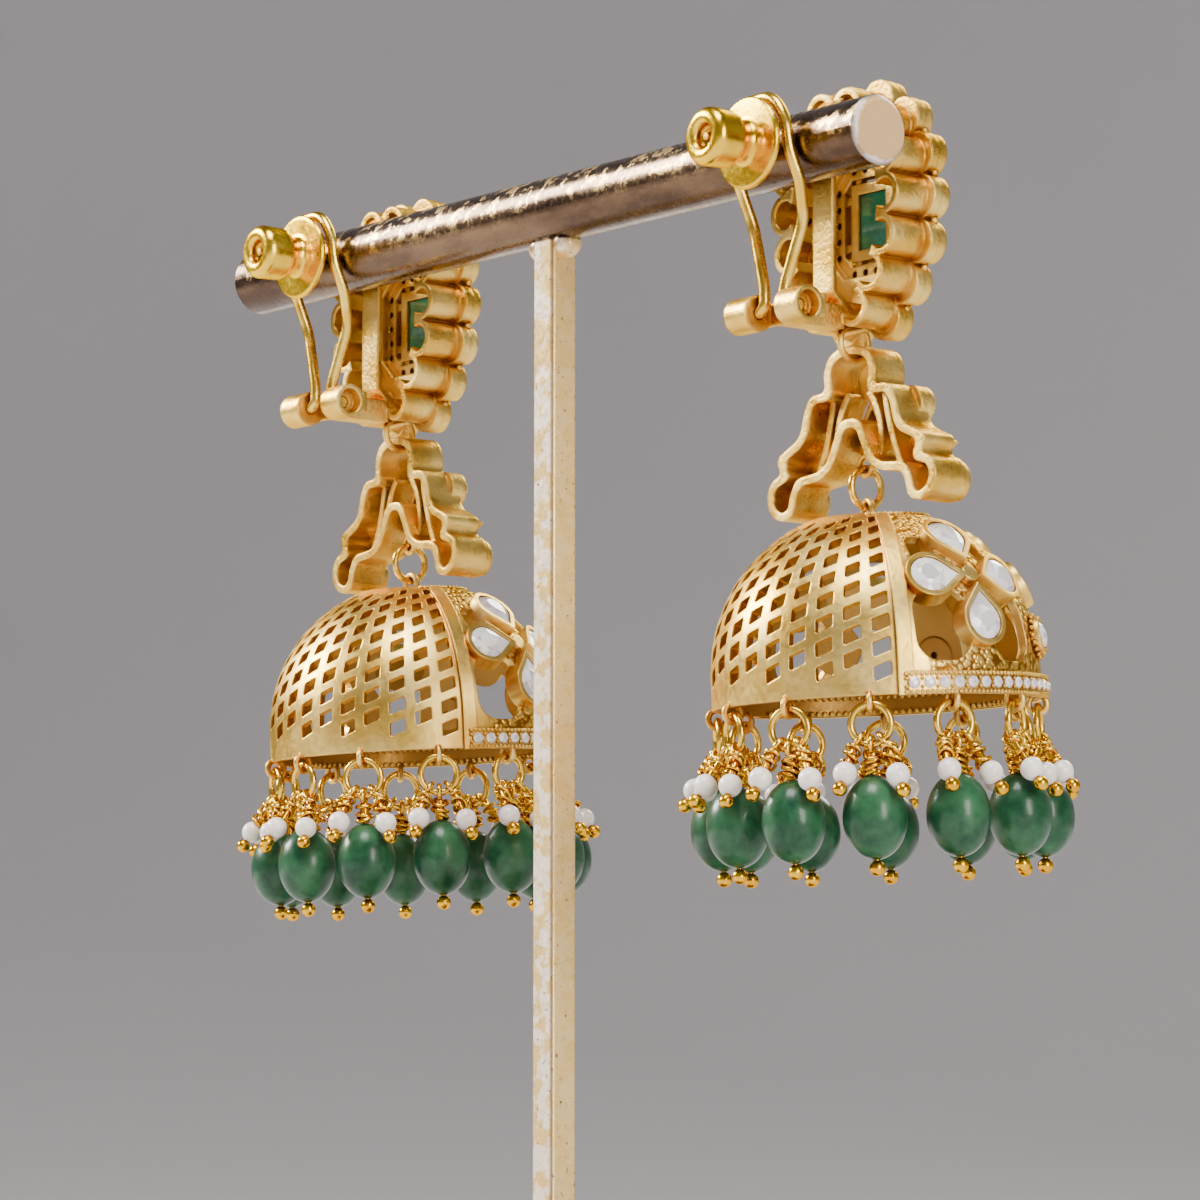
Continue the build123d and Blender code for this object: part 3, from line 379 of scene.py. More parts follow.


# painted shade colours: walls and inside darken the hole walls and the bell's hollow, groove darkens the gaps
# between beads
lattice = {
    "walls": (0.46, 0.17, 0.015), "inside": (0.34, 0.17, 0.035), "strength": 0.9,
    "beading": 1500.0, "groove": (0.30, 0.12, 0.01), "grooveFrom": (0.35, 0.75), "grooveDepth": 3.0,
}
# the pins turn yellower above this height, measured along the tipped bell
pinLayers = {"low": 0.0672, "high": 0.0684, "tilt": 0.0523, "middleY": -0.0117, "ring": (0.82, 0.54, 0.075)}


def makeGold(name):
    row = goldFinishes[name]
    material, tree, shader = newMaterial(name, Metallic=1.0, Specular_Tint=(*row["sheen"], 1.0))
    cast = useGroup(
        tree, castMetal, Base=row["base"], Light=row["light"], Recess=row["recessShade"], Patch=row["patch"],
        Grain=row["grain"], Reach=row["reach"], Smooth=row["smooth"], Rough=row["rough"], Edge=row["edge"],
    )
    colour, height = cast.outputs["Color"], cast.outputs["Height"]
    if name == "goldLattice":
        masks = useGroup(tree, bellZones, Strength=lattice["strength"]).outputs
        coords = coordinates(tree)
        # painted shade: a darker colour in the grooves between the beads of the front shell; the grooves are
        # also sunk in the bump
        cells = addNode(tree, "ShaderNodeTexVoronoi", {"Vector": coords, "Scale": lattice["beading"]})
        groove = mapRange(tree, cells.outputs["Distance"], *lattice["grooveFrom"])
        groove = mathNode(tree, "MULTIPLY", groove, masks["Field"])
        colour = mixColour(tree, groove, colour, lattice["groove"])
        sunk = mathNode(tree, "MULTIPLY", groove, lattice["grooveDepth"])
        height = mathNode(tree, "SUBTRACT", height, sunk)
        # painted shade: a darker colour on the inside of the bell and on the hole walls in its back half
        colour = mixColour(tree, masks["Inside"], colour, lattice["inside"])
        colour = mixColour(tree, masks["WallShade"], colour, lattice["walls"])
    if name == "orangeGold":
        # the jump rings at the top of a cluster are yellower than the headpins
        split = axesOf(tree, coordinates(tree))
        lean = mathNode(tree, "SUBTRACT", split["Y"], pinLayers["middleY"])
        lean = mathNode(tree, "MULTIPLY", lean, pinLayers["tilt"])
        high = mapRange(tree, mathNode(tree, "ADD", split["Z"], lean), pinLayers["low"], pinLayers["high"])
        colour = mixColour(tree, high, colour, pinLayers["ring"])
    tree.links.new(colour, shader.inputs["Base Color"])
    tree.links.new(cast.outputs["Roughness"], shader.inputs["Roughness"])
    bumpFrom(tree, shader, height, row["bump"], row["depth"], cast.outputs["Normal"])
    return material


stoneFinishes = {
    "whitePolki": {
        "deep": (0.74, 0.70, 0.70), "milky": (0.95, 0.93, 0.92), "scale": 260.0, "veins": 1100.0,
        "bump": 0.12,
        # the grey below is painted reflection on the facets
        "facetReflection": (0.42, 0.39, 0.42), "facetScale": 2.3, "facetRange": (0.48, 0.62), "facetShare": 0.8,
        "constants": {"Roughness": 0.12, "Coat Weight": 0.5, "Coat Roughness": 0.05, "IOR": 1.6},
    },
    "greenGem": {
        "deep": (0.004, 0.10, 0.045), "milky": (0.012, 0.24, 0.11), "scale": 420.0, "veins": 1600.0,
        "bump": 0.20,
        "constants": {"Roughness": 0.10, "Coat Weight": 0.6, "Coat Roughness": 0.04, "IOR": 1.57},
    },
    "greenBead": {
        "deep": (0.003, 0.044, 0.017), "milky": (0.031, 0.126, 0.054), "scale": 170.0, "veins": 900.0,
        "bump": 0.10,
        # the outline colour below is painted shade round the bead's edge
        "edge": (0.002, 0.036, 0.014), "edgeBlend": 0.35, "edgeRange": (0.25, 0.85),
        "constants": {"Roughness": 0.32, "Coat Weight": 0.12, "Coat Roughness": 0.10, "IOR": 1.40,
                      "Specular IOR Level": 0.35, "Subsurface Weight": 0.35, "Subsurface Scale": 0.003},
    },
    "seedPearl": {
        "deep": (0.78, 0.70, 0.62), "milky": (0.93, 0.89, 0.84), "scale": 420.0, "veins": 2200.0,
        "bump": 0.10,
        "constants": {"Roughness": 0.32, "Coat Weight": 0.35, "Coat Roughness": 0.22, "IOR": 1.5},
    },
}


def makeStone(name):
    row = stoneFinishes[name]
    material, tree, shader = newMaterial(name)
    for key, value in row["constants"].items():
        shader.inputs[key].default_value = value
    veil = useGroup(
        tree, clouds, Deep=row["deep"], Milky=row["milky"], Scale=row["scale"], Veins=row["veins"],
    )
    colour = veil.outputs["Color"]
    if "facetReflection" in row:
        # painted reflections: the facets over the foil each take their own grey tone from which way they face
        tone = noiseNode(tree, coordinates(tree, "Normal"), row["facetScale"], 1.0)
        tone = mapRange(tree, tone, *row["facetRange"], 0.0, row["facetShare"])
        colour = mixColour(tree, tone, colour, row["facetReflection"])
    if "edge" in row:
        # painted shade: darker where the surface turns from the eye; this colour moves with the view
        rim = addNode(tree, "ShaderNodeLayerWeight", {"Blend": row["edgeBlend"]}).outputs["Facing"]
        colour = mixColour(tree, mapRange(tree, rim, *row["edgeRange"]), colour, row["edge"])
    tree.links.new(colour, shader.inputs["Base Color"])
    bumpFrom(tree, shader, veil.outputs["Height"], row["bump"], fineDepth)
    return material


stand = {
    "barDark": (0.056, 0.032, 0.019),
    "barWarm": (0.150, 0.094, 0.052),
    "barFleck": (0.78, 0.54, 0.22),
    "endFace": (0.60, 0.38, 0.16),
    "endRim": (0.74, 0.66, 0.62),
    "postPale": (1.0, 0.87, 0.68),
    "postGold": (0.86, 0.59, 0.20),
    # the next colour is painted shade on the post's faces turned to ±X
    "postShadedSide": (0.84, 0.58, 0.20),
    "postMetal": 0.35,
    "postBrown": (0.22, 0.10, 0.03),
    "postTop": 0.1312,
    "postFade": 0.0003,
    "postHalf": 0.0019,
    "postBlotches": {"Scale": 430.0, "Amount": 0.52, "Soft": 0.05},
    "postSpots": {"Scale": 1500.0, "Amount": 0.36, "Soft": 0.02},
    "postSideShare": 0.85,
    "cornerLine": (0.00042, 0.00022),
    "cornerShare": 0.75,
    "postRough": (0.22, 0.45),
    "barHeight": 0.135,
    "barFlakes": {"Scale": 620.0, "Amount": 0.46, "Soft": 0.04},
    "flakesFrom": (0.1338, 0.1362),
    "barRough": (0.18, 0.34),
    "flakeRough": 0.12,
    "endFaceX": -0.0578,
    "endFade": (0.0006, 0.0001),
    "endRagged": 0.0022,
    "endRimRadius": (0.00448, 0.00462),
    "endPlain": 0.85,
    "endRough": 0.35,
    "baseFlakes": {"Scale": 520.0, "Amount": 0.38, "Soft": 0.03},
    "baseRough": (0.22, 0.42),
    "tone": (0.40, 0.64),
    "baseTone": (0.38, 0.66),
    "grain": (0.35, 0.7),
    "relief": 0.35,
    "baseRelief": 0.25,
}


def makeStandMetal():
    # rubbed bronze crossbar with flaked gold, and a post in worn gold foil
    material, tree, shader = newMaterial("standMetal")
    coords = coordinates(tree)
    alongX, alongY, alongZ = axesOf(tree, coords)
    # the crossbar
    streak = addNode(tree, "ShaderNodeMapping", {"Vector": coords, "Scale": (0.35, 1.0, 1.0)})
    tone = mapRange(tree, noiseNode(tree, streak.outputs["Vector"], 160.0, 6.0, 0.6), *stand["tone"])
    barColour = mixColour(tree, tone, stand["barDark"], stand["barWarm"])
    flaked = useGroup(tree, speckles, **stand["barFlakes"]).outputs["Mask"]
    upper = mapRange(tree, alongZ, *stand["flakesFrom"])
    fleckMask = mathNode(tree, "MULTIPLY", flaked, upper)
    barColour = mixColour(tree, fleckMask, barColour, stand["barFleck"])
    # its cut end
    offY = mathNode(tree, "POWER", alongY, 2.0)
    offZ = mathNode(tree, "POWER", mathNode(tree, "SUBTRACT", alongZ, stand["barHeight"]), 2.0)
    radius = mathNode(tree, "SQRT", mathNode(tree, "ADD", offY, offZ))
    scraped = noiseNode(tree, coords, 420.0, 5.0)
    ragged = mathNode(tree, "ADD", radius, mathNode(tree, "MULTIPLY", scraped, stand["endRagged"]))
    rimMask = mapRange(tree, ragged, *stand["endRimRadius"])
    endColour = mixColour(tree, rimMask, stand["endFace"], stand["endRim"])
    fadeFrom, fadeTo = stand["endFade"]
    atEnd = mapRange(tree, alongX, stand["endFaceX"] + fadeFrom, stand["endFaceX"] + fadeTo)
    barColour = mixColour(tree, atEnd, barColour, endColour)
    # the post
    blotch = useGroup(tree, speckles, **stand["postBlotches"]).outputs["Mask"]
    postColour = mixColour(tree, blotch, stand["postPale"], stand["postGold"])
    # painted shade: faces turned to ±X take a darker gold than the pale faces
    facingX = axesOf(tree, coordinates(tree, "Normal"))["X"]
    shadedSide = mapRange(tree, mathNode(tree, "ABSOLUTE", facingX), 0.5, 0.8, 0.0, stand["postSideShare"])
    postColour = mixColour(tree, shadedSide, postColour, stand["postShadedSide"])
    spot = useGroup(tree, speckles, **stand["postSpots"]).outputs["Mask"]
    postColour = mixColour(tree, spot, postColour, stand["postBrown"])
    sideX = mathNode(tree, "ABSOLUTE", alongX)
    sideY = mathNode(tree, "ABSOLUTE", alongY)
    corner = mathNode(tree, "MINIMUM", sideX, sideY)
    lineFrom, lineTo = stand["cornerLine"]
    line = mapRange(tree, corner, stand["postHalf"] - lineFrom, stand["postHalf"] - lineTo)
    line = mathNode(tree, "MULTIPLY", line, stand["cornerShare"])
    postColour = mixColour(tree, line, postColour, stand["postBrown"])
    onPost = mapRange(tree, alongZ, stand["postTop"], stand["postTop"] - stand["postFade"])
    colour = mixColour(tree, onPost, barColour, postColour)
    tree.links.new(colour, shader.inputs["Base Color"])
    metal = mathNode(tree, "SUBTRACT", 1.0, mathNode(tree, "MULTIPLY", atEnd, stand["endPlain"]))
    metal = mathNode(tree, "SUBTRACT", metal, mathNode(tree, "MULTIPLY", onPost, 1 - stand["postMetal"]))
    tree.links.new(metal, shader.inputs["Metallic"])
    grain = noiseNode(tree, coords, 1300.0)
    barRough = mapRange(tree, grain, *stand["grain"], *stand["barRough"])
    flakeRough = mathNode(tree, "MULTIPLY", fleckMask, stand["flakeRough"])
    barRough = mathNode(tree, "ADD", barRough, flakeRough)
    postRough = mapRange(tree, grain, *stand["grain"], *stand["postRough"])
    rough = addNode(tree, "ShaderNodeMix", {0: onPost, 2: barRough, 3: postRough}, data_type="FLOAT")
    rough = rough.outputs[0]
    rough = mathNode(tree, "ADD", rough, mathNode(tree, "MULTIPLY", atEnd, stand["endRough"]))
    tree.links.new(rough, shader.inputs["Roughness"])
    height = mathNode(tree, "ADD", mathNode(tree, "MULTIPLY", grain, 0.4),
                      mathNode(tree, "MULTIPLY", mathNode(tree, "ADD", fleckMask, blotch), 0.3))
    bumpFrom(tree, shader, height, stand["relief"], fineDepth)
    return material


def makeBaseMetal():
    # the same rubbed bronze, flatter, on the foot of the stand
    material, tree, shader = newMaterial("baseMetal", Metallic=1.0)
    coords = coordinates(tree)
    tone = mapRange(tree, noiseNode(tree, coords, 70.0, 6.0, 0.6), *stand["baseTone"])
    colour = mixColour(tree, tone, stand["barDark"], stand["barWarm"])
    flaked = useGroup(tree, speckles, **stand["baseFlakes"]).outputs["Mask"]
    colour = mixColour(tree, flaked, colour, stand["barFleck"])
    tree.links.new(colour, shader.inputs["Base Color"])
    grain = noiseNode(tree, coords, 900.0)
    rough = mapRange(tree, grain, *stand["grain"], *stand["baseRough"])
    tree.links.new(rough, shader.inputs["Roughness"])
    bumpFrom(tree, shader, grain, stand["baseRelief"], fineDepth)
    return material


materials = {name: makeGold(name) for name in goldFinishes}
materials.update({name: makeStone(name) for name in stoneFinishes})
materials["standMetal"] = makeStandMetal()
materials["baseMetal"] = makeBaseMetal()
print("materials", len(materials))


def finish(name, materialName):
    # a CAD node takes a finish
    for entry in nodes[name].material_slots:
        entry.material = materials[materialName]


nodeFinishes = {
    "plate": "goldPlate", "plate_stones": "whitePolki", "centre_stone": "greenGem", "omega_lever": "goldWire",
    "clutch": "goldClutch", "link_ring": "goldPlate", "drop": "goldPlate", "drop_stones": "whitePolki",
    "drop_bead": "goldPlate", "bell_link": "goldWire", "bell": "goldLattice", "bell_stones": "whitePolki",
    "fringe_pins": "orangeGold", "pearls": "seedPearl",
}
for side in layout["sides"]:
    for nodeName, materialName in nodeFinishes.items():
        finish(side + "_" + nodeName, materialName)
    for index in range(12):
        finish(side + "_bead_" + str(index + 1), "greenBead")
finish("stand_frame", "standMetal")
finish("stand_base", "baseMetal")


# mesh tools: a part is (points, faces), in millimetres
def moved(part, place):
    return [place @ Vector(p) for p in part[0]], part[1]


def joined(parts):
    points, faces = [], []
    for partPoints, partFaces in parts:
        start = len(points)
        points.extend(partPoints)
        faces.extend([tuple(i + start for i in face) for face in partFaces])
    return points, faces


def addPiece(name, parts, materialName, body, smooth=True):
    points, faces = joined(parts)
    mesh = bpy.data.meshes.new(name)
    mesh.from_pydata([tuple(p * metresPerMillimetre for p in point) for point in points], [], faces)
    mesh.polygons.foreach_set("use_smooth", [smooth] * len(mesh.polygons))
    mesh.materials.append(materials[materialName])
    mesh.validate()
    piece = bpy.data.objects.new(name, mesh)
    bpy.context.scene.collection.objects.link(piece)
    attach(piece, body)
    return piece


def grain(radius, rings=4, sides=6):
    # a small round ball
    points, faces = [(0, 0, radius)], []
    for ring in range(1, rings):
        down = math.pi * ring / rings
        for k in range(sides):
            a = 2 * math.pi * k / sides
            points.append((radius * math.sin(down) * math.cos(a), radius * math.sin(down) * math.sin(a),
                           radius * math.cos(down)))
    points.append((0, 0, -radius))
    for k in range(sides):
        n = (k + 1) % sides
        faces.append((0, 1 + k, 1 + n))
        for ring in range(rings - 2):
            a, b = 1 + ring * sides, 1 + (ring + 1) * sides
            faces.append((a + k, b + k, b + n, a + n))
        last = 1 + (rings - 2) * sides
        faces.append((last + k, len(points) - 1, last + n))
    return points, faces


def tube(path, radius):
    # a round wire along a path of points, with flat ends
    sides = 6
    path = [Vector(p) for p in path]
    count = len(path)
    points, faces = [], []
    side = None
    for i, at in enumerate(path):
        before = path[i - 1] if i else at
        after = path[i + 1] if i < count - 1 else at
        along = (after - before).normalized()
        if side is None:
            side = along.orthogonal().normalized()
        side = (side - along * side.dot(along)).normalized()
        across = along.cross(side)
        for k in range(sides):
            a = 2 * math.pi * k / sides
            points.append(at + side * (radius * math.cos(a)) + across * (radius * math.sin(a)))
    for i in range(count - 1):
        for k in range(sides):
            n = (k + 1) % sides
            a, b = i * sides, (i + 1) * sides
            faces.append((a + k, a + n, b + n, b + k))
    faces.append(tuple(range(sides - 1, -1, -1)))
    faces.append(tuple((count - 1) * sides + k for k in range(sides)))
    return points, faces


def coil(length, radius, wire, turns, mess=0.0):
    # wire wound about local z from 0 down to -length, each loop tipped and sized a little differently
    steps = int(turns * 12)
    path = []
    tips = [(random.uniform(-mess, mess), random.uniform(-mess, mess), random.uniform(0.0, mess))
            for _ in range(int(turns) + 3)]
    for i in range(steps + 1):
        t = i / steps
        a = 2 * math.pi * turns * t
        loop, part = divmod(turns * t, 1)
        first, second = tips[int(loop)], tips[int(loop) + 1]
        tipX, tipY, swell = (first[n] * (1 - part) + second[n] * part for n in range(3))
        r = radius * (1 + 0.45 * swell)
        x, y = r * math.cos(a), r * math.sin(a)
        path.append((x, y, -length * t + x * tipX + y * tipY))
    return tube(path, wire)


def roundOutline(radius, count=16):
    return [(radius * math.cos(2 * math.pi * k / count), radius * math.sin(2 * math.pi * k / count))
            for k in range(count)]


def teardropOutline(radius, reach, grow):
    # round end at the origin, tip towards +x, as in the collets
    count = 12
    sine = radius / reach
    r = radius + grow
    lean = math.acos(sine)
    outline = [(r / sine, 0.0)]
    for k in range(count + 1):
        a = lean + (2 * math.pi - 2 * lean) * k / count
        outline.append((r * math.cos(a), r * math.sin(a)))
    return outline


def cutStone(outline, seat, girdle, dome, table=0.42):
    # an old cut stone: straight girdle, two rings of facets and a flat table, local z outward
    count = len(outline)
    cx = sum(p[0] for p in outline) / count
    cy = sum(p[1] for p in outline) / count
    points = [(x, y, seat) for x, y in outline] + [(x, y, girdle) for x, y in outline]
    half = count // 2
    middle = []
    for k in range(half):
        a = outline[(2 * k) % count]
        b = outline[(2 * k + 1) % count]
        x, y = (a[0] + b[0]) / 2 - cx, (a[1] + b[1]) / 2 - cy
        share = 0.74 + random.uniform(-0.05, 0.05)
        middle.append((cx + x * share, cy + y * share, girdle + dome * random.uniform(0.52, 0.72)))
    top = []
    for k in range(half):
        a = outline[(2 * k + 1) % count]
        b = outline[(2 * k + 2) % count]
        x, y = (a[0] + b[0]) / 2 - cx, (a[1] + b[1]) / 2 - cy
        share = table + random.uniform(-0.04, 0.04)
        top.append((cx + x * share, cy + y * share, girdle + dome))
    points += middle + top
    m0, t0 = 2 * count, 2 * count + half
    faces = [tuple(range(count - 1, -1, -1))]
    for k in range(count):
        n = (k + 1) % count
        faces.append((k, n, count + n, count + k))
    for k in range(half):
        n = (k + 1) % half
        o0, o1, o2 = count + (2 * k) % count, count + (2 * k + 1) % count, count + (2 * k + 2) % count
        faces.append((o0, o1, m0 + k))
        faces.append((o1, m0 + n, m0 + k))
        faces.append((o1, o2, m0 + n))
        faces.append((m0 + k, m0 + n, t0 + k))
        faces.append((t0 + k, m0 + n, t0 + n))
    if count % 2:
        faces.append((2 * count - 1, count, m0))
    faces.append(tuple(t0 + k for k in range(half)))
    return points, faces


def frontPlace(x, z, y, degrees=0.0):
    # a seat on the front: local x to the right seen from the ear's side, local z towards -Y
    facing = Matrix(((1, 0, 0, x), (0, 0, -1, y), (0, 1, 0, z), (0, 0, 0, 1)))
    return facing @ turn(degrees, "Z")


def downAngle(z):
    return math.degrees(math.acos((z - bell["centreZ"]) / bell["radius"]))


def bellPlace(around, down, rise=0.0, degrees=0.0):
    # a seat on the bell; around runs from the back, down from the crown
    a, d = math.radians(around), math.radians(min(down, 90.0))
    below = math.radians(max(down - 90.0, 0.0)) * bell["radius"]
    out = Vector((math.sin(a) * math.sin(d), math.cos(a) * math.sin(d), math.cos(d)))
    xDir = Vector((math.cos(a), -math.sin(a), 0))
    yDir = out.cross(xDir)
    at = Vector((0, 0, bell["centreZ"] - below)) + out * (bell["radius"] + rise)
    return Matrix((
        (xDir.x, yDir.x, out.x, at.x), (xDir.y, yDir.y, out.y, at.y), (xDir.z, yDir.z, out.z, at.z),
        (0, 0, 0, 1),
    )) @ turn(degrees, "Z")


# cut stones in their collets
cups = ((2.42, 6.55), (6.6, 3.9), (8.9, -0.4), (9.3, -5.3), (8.7, -10.2), (6.3, -14.5), (3.15, -18.1))
plateStones = {"radius": 1.74, "seatY": -11.65, "girdle": 1.0, "dome": 0.55}
dropStones = {
    "seatY": -12.05, "girdle": 1.1, "dome": 0.7,
    "rounds": (
        (0.0, -24.7, 1.64), (6.2, -28.1, 1.44), (-6.2, -28.1, 1.44),
        (11.75, -37.2, 1.59), (-11.75, -37.2, 1.59),
    ),
    "leaves": ((7.9, -33.1, 3.0), (-7.9, -33.1, 177.0)),
    "leaf": (1.9, 4.3, -0.66),
}
for side in layout["sides"]:
    places = sidePlaces(side)
    stones = []
    for x, z in cups:
        for s in (1, -1):
            seat = places["ear"] @ frontPlace(s * x, z, plateStones["seatY"], random.uniform(0, 90))
            outline = roundOutline(plateStones["radius"])
            stones.append(moved(cutStone(outline, 0, plateStones["girdle"], plateStones["dome"]), seat))
    piece = addPiece(side + "_plate_polki", stones, "whitePolki", "stand", smooth=False)
    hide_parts(side + "_plate_stones")

    stones = []
    for x, z, radius in dropStones["rounds"]:
        seat = places["drop"] @ frontPlace(x, z, dropStones["seatY"], random.uniform(0, 90))
        outline = roundOutline(radius)
        stones.append(moved(cutStone(outline, 0, dropStones["girdle"], dropStones["dome"]), seat))
    for x, z, degrees in dropStones["leaves"]:
        outline = teardropOutline(*dropStones["leaf"])
        seat = places["drop"] @ frontPlace(x, z, dropStones["seatY"], degrees)
        stones.append(moved(cutStone(outline, 0, dropStones["girdle"], dropStones["dome"]), seat))
    piece = addPiece(side + "_drop_polki", stones, "whitePolki", side + "_drop", smooth=False)
    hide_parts(side + "_drop_stones")

    stones = []
    for around, z in bell["flowers"]:
        for sweep, dropBy, tip in bell["petals"]:
            outline = teardropOutline(bell["petalRadius"], bell["petalReach"], bell["petalTrim"])
            seat = places["bell"] @ bellPlace(around + sweep, downAngle(z) + dropBy, bell["petalSeat"], tip)
            stones.append(moved(cutStone(outline, 0, bell["girdle"], bell["dome"], 0.5), seat))
    for around, z in bell["sideCups"]:
        seat = places["bell"] @ bellPlace(around, downAngle(z), bell["petalSeat"], 10.0)
        outline = roundOutline(bell["sideStoneRadius"])
        stones.append(moved(cutStone(outline, 0, bell["girdle"], bell["dome"]), seat))
    piece = addPiece(side + "_bell_polki", stones, "whitePolki", side + "_bell", smooth=False)
    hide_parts(side + "_bell_stones")
print("cut stones set")

# rows of grains and set stones on the ear top, drop and bell
rimRows = {
    "stoneZ": -60.05, "stonePitch": 1.72, "stoneRadius": 0.66,
    "prongRadius": 0.22, "prongs": ((0.86, 0.45), (0.86, -0.45)), "prongRise": 0.12,
    "grainRadius": 0.27, "grainPitch": 0.56, "outerZ": (-59.1, -61.05),
    "innerRadius": 17.05, "innerZ": (-59.2, -60.9), "innerGrain": 0.3, "innerPitch": 0.9,
    "crownRadius": 6.7, "crownZ": -40.55, "crownGrain": 0.33, "crownCount": 64,
    "sideRing": 2.38, "sideGrain": 0.3, "sideCount": 18,
}
frameRow = {
    "middleZ": -6.4, "x": 5.4, "z": 5.9, "pitch": 1.85, "faceY": -12.8,
    "stoneRadius": 0.66, "prongRadius": 0.24, "prongReach": 0.62, "prongRise": 0.12,
    "bezelX": 3.75, "bezelZ": 4.65, "bezelY": -12.95, "ropeRadius": 0.24, "ropePitch": 0.44,
}
cupGrains = {"radius": 0.55, "y": -12.0, "push": 0.9, "middleZ": -5.7}
dropGrains = {"radius": 0.24, "pitch": 0.52, "y": -13.42, "ring": 0.42, "countRing": 0.62}
bandRadius = bell["radius"] + bell["bandRise"]
span = math.radians(360 - 2 * bell["ribAngle"]) * bandRadius  # the front half of the rim, rib to rib


def rimArc(radius, z, pitch):
    # evenly spaced spots along the front half of the rim
    many = int(span / pitch)
    for k in range(many + 1):
        a = math.radians(bell["ribAngle"]) + k * span / many / bandRadius
        yield shift(radius * math.sin(a), radius * math.cos(a), z)


for side in layout["sides"]:
    places = sidePlaces(side)
    # rim band: one row of small stones between two rows of grains, front half only
    grains, stones = [], []
    count = int(span / rimRows["stonePitch"])
    for k in range(count):
        a = math.radians(bell["ribAngle"]) + (k + 0.5) * span / count / bandRadius
        out = Vector((math.sin(a), math.cos(a), 0))
        flat = Matrix((
            (math.cos(a), 0, out.x, out.x * bandRadius), (-math.sin(a), 0, out.y, out.y * bandRadius),
            (0, 1, 0, rimRows["stoneZ"]), (0, 0, 0, 1),
        ))
        seat = places["bell"] @ flat
        stones.append(moved(cutStone(roundOutline(rimRows["stoneRadius"], 8), -0.2, 0.1, 0.3, 0.5), seat))
        for dx, dz in rimRows["prongs"]:
            prong = seat @ shift(dx, dz, rimRows["prongRise"])
            grains.append(moved(grain(rimRows["prongRadius"]), prong))
    for z in rimRows["outerZ"]:
        for at in rimArc(bandRadius, z, rimRows["grainPitch"]):
            grains.append(moved(grain(rimRows["grainRadius"]), places["bell"] @ at))
    # the same band seen from inside
    for z in rimRows["innerZ"]:
        for at in rimArc(rimRows["innerRadius"], z, rimRows["innerPitch"]):
            grains.append(moved(grain(rimRows["innerGrain"]), places["bell"] @ at))
    # crown ring, open at the back
    crown = rimRows["crownRadius"]
    for k in range(rimRows["crownCount"]):
        a = 2 * math.pi * k / rimRows["crownCount"]
        if math.cos(a) < 0.5:
            at = shift(crown * math.sin(a), crown * math.cos(a), rimRows["crownZ"])
            grains.append(moved(grain(rimRows["crownGrain"], 5, 7), places["bell"] @ at))
    # grains round the side collets
    ring = rimRows["sideRing"]
    for around, z in bell["sideCups"]:
        for k in range(rimRows["sideCount"]):
            a = 2 * math.pi * k / rimRows["sideCount"]
            seat = bellPlace(around, downAngle(z), bell["petalSeat"])
            seat = seat @ shift(ring * math.cos(a), ring * math.sin(a), 0)
            grains.append(moved(grain(rimRows["sideGrain"]), places["bell"] @ seat))
    addPiece(side + "_bell_grains", grains, "goldPlate", side + "_bell")
    addPiece(side + "_rim_stones", stones, "whitePolki", side + "_bell", smooth=False)

    # ear top: small stones in the octagonal frame, four grains at each, a rope round the bezel
    grains, stones = [], []
    spots = []
    for s in (-1, 1):
        spots += [(s * frameRow["x"], frameRow["middleZ"] + k * frameRow["pitch"]) for k in (-2, -1, 0, 1, 2)]
        endZ = frameRow["middleZ"] + s * frameRow["z"]
        spots += [(k * frameRow["pitch"], endZ) for k in (-1.5, -0.5, 0.5, 1.5)]
    for x, z in spots:
        seat = places["ear"] @ frontPlace(x, z, frameRow["faceY"])
        stones.append(moved(cutStone(roundOutline(frameRow["stoneRadius"], 8), -0.15, 0.12, 0.3, 0.5), seat))
        for up in (1, -1):
            for across in (1, -1):
                reach = frameRow["prongReach"]
                prong = seat @ shift(across * reach, up * reach, frameRow["prongRise"])
                grains.append(moved(grain(frameRow["prongRadius"]), prong))
    rope = []
    bx, bz = frameRow["bezelX"], frameRow["bezelZ"]
    corners = ((-bx, -bz), (bx, -bz), (bx, bz), (-bx, bz))
    for (x0, z0), (x1, z1) in zip(corners, corners[1:] + corners[:1]):
        steps = int(math.hypot(x1 - x0, z1 - z0) / frameRow["ropePitch"])
        for k in range(steps):
            t = k / steps
            z = frameRow["middleZ"] + z0 + (z1 - z0) * t
            seat = frontPlace(x0 + (x1 - x0) * t, z, frameRow["bezelY"])
            rope.append(moved(grain(frameRow["ropeRadius"]), places["ear"] @ seat))
    # larger grains between neighbouring collets, on the outer edge
    for s in (1, -1):
        for (x0, z0), (x1, z1) in zip(cups, cups[1:]):
            x, z = (x0 + x1) / 2, (z0 + z1) / 2
            away, push = Vector((x, z - cupGrains["middleZ"])).normalized(), cupGrains["push"]
            seat = frontPlace(s * (x + away.x * push), z + away.y * push, cupGrains["y"])
            grains.append(moved(grain(cupGrains["radius"], 6, 9), places["ear"] @ seat))
    addPiece(side + "_plate_grains", grains + rope, "goldPlate", "stand")
    addPiece(side + "_frame_stones", stones, "whitePolki", "stand", smooth=False)

    # drop: a row of grains round each round collet
    grains = []
    for x, z, radius in dropStones["rounds"]:
        many = int(2 * math.pi * (radius + dropGrains["countRing"]) / dropGrains["pitch"])
        for k in range(many):
            a = 2 * math.pi * k / many
            r = radius + dropGrains["ring"]
            seat = frontPlace(x + r * math.cos(a), z + r * math.sin(a), dropGrains["y"])
            grains.append(moved(grain(dropGrains["radius"]), places["drop"] @ seat))
    addPiece(side + "_drop_grains", grains, "goldPlate", side + "_drop")
print("grains and rim stones set")

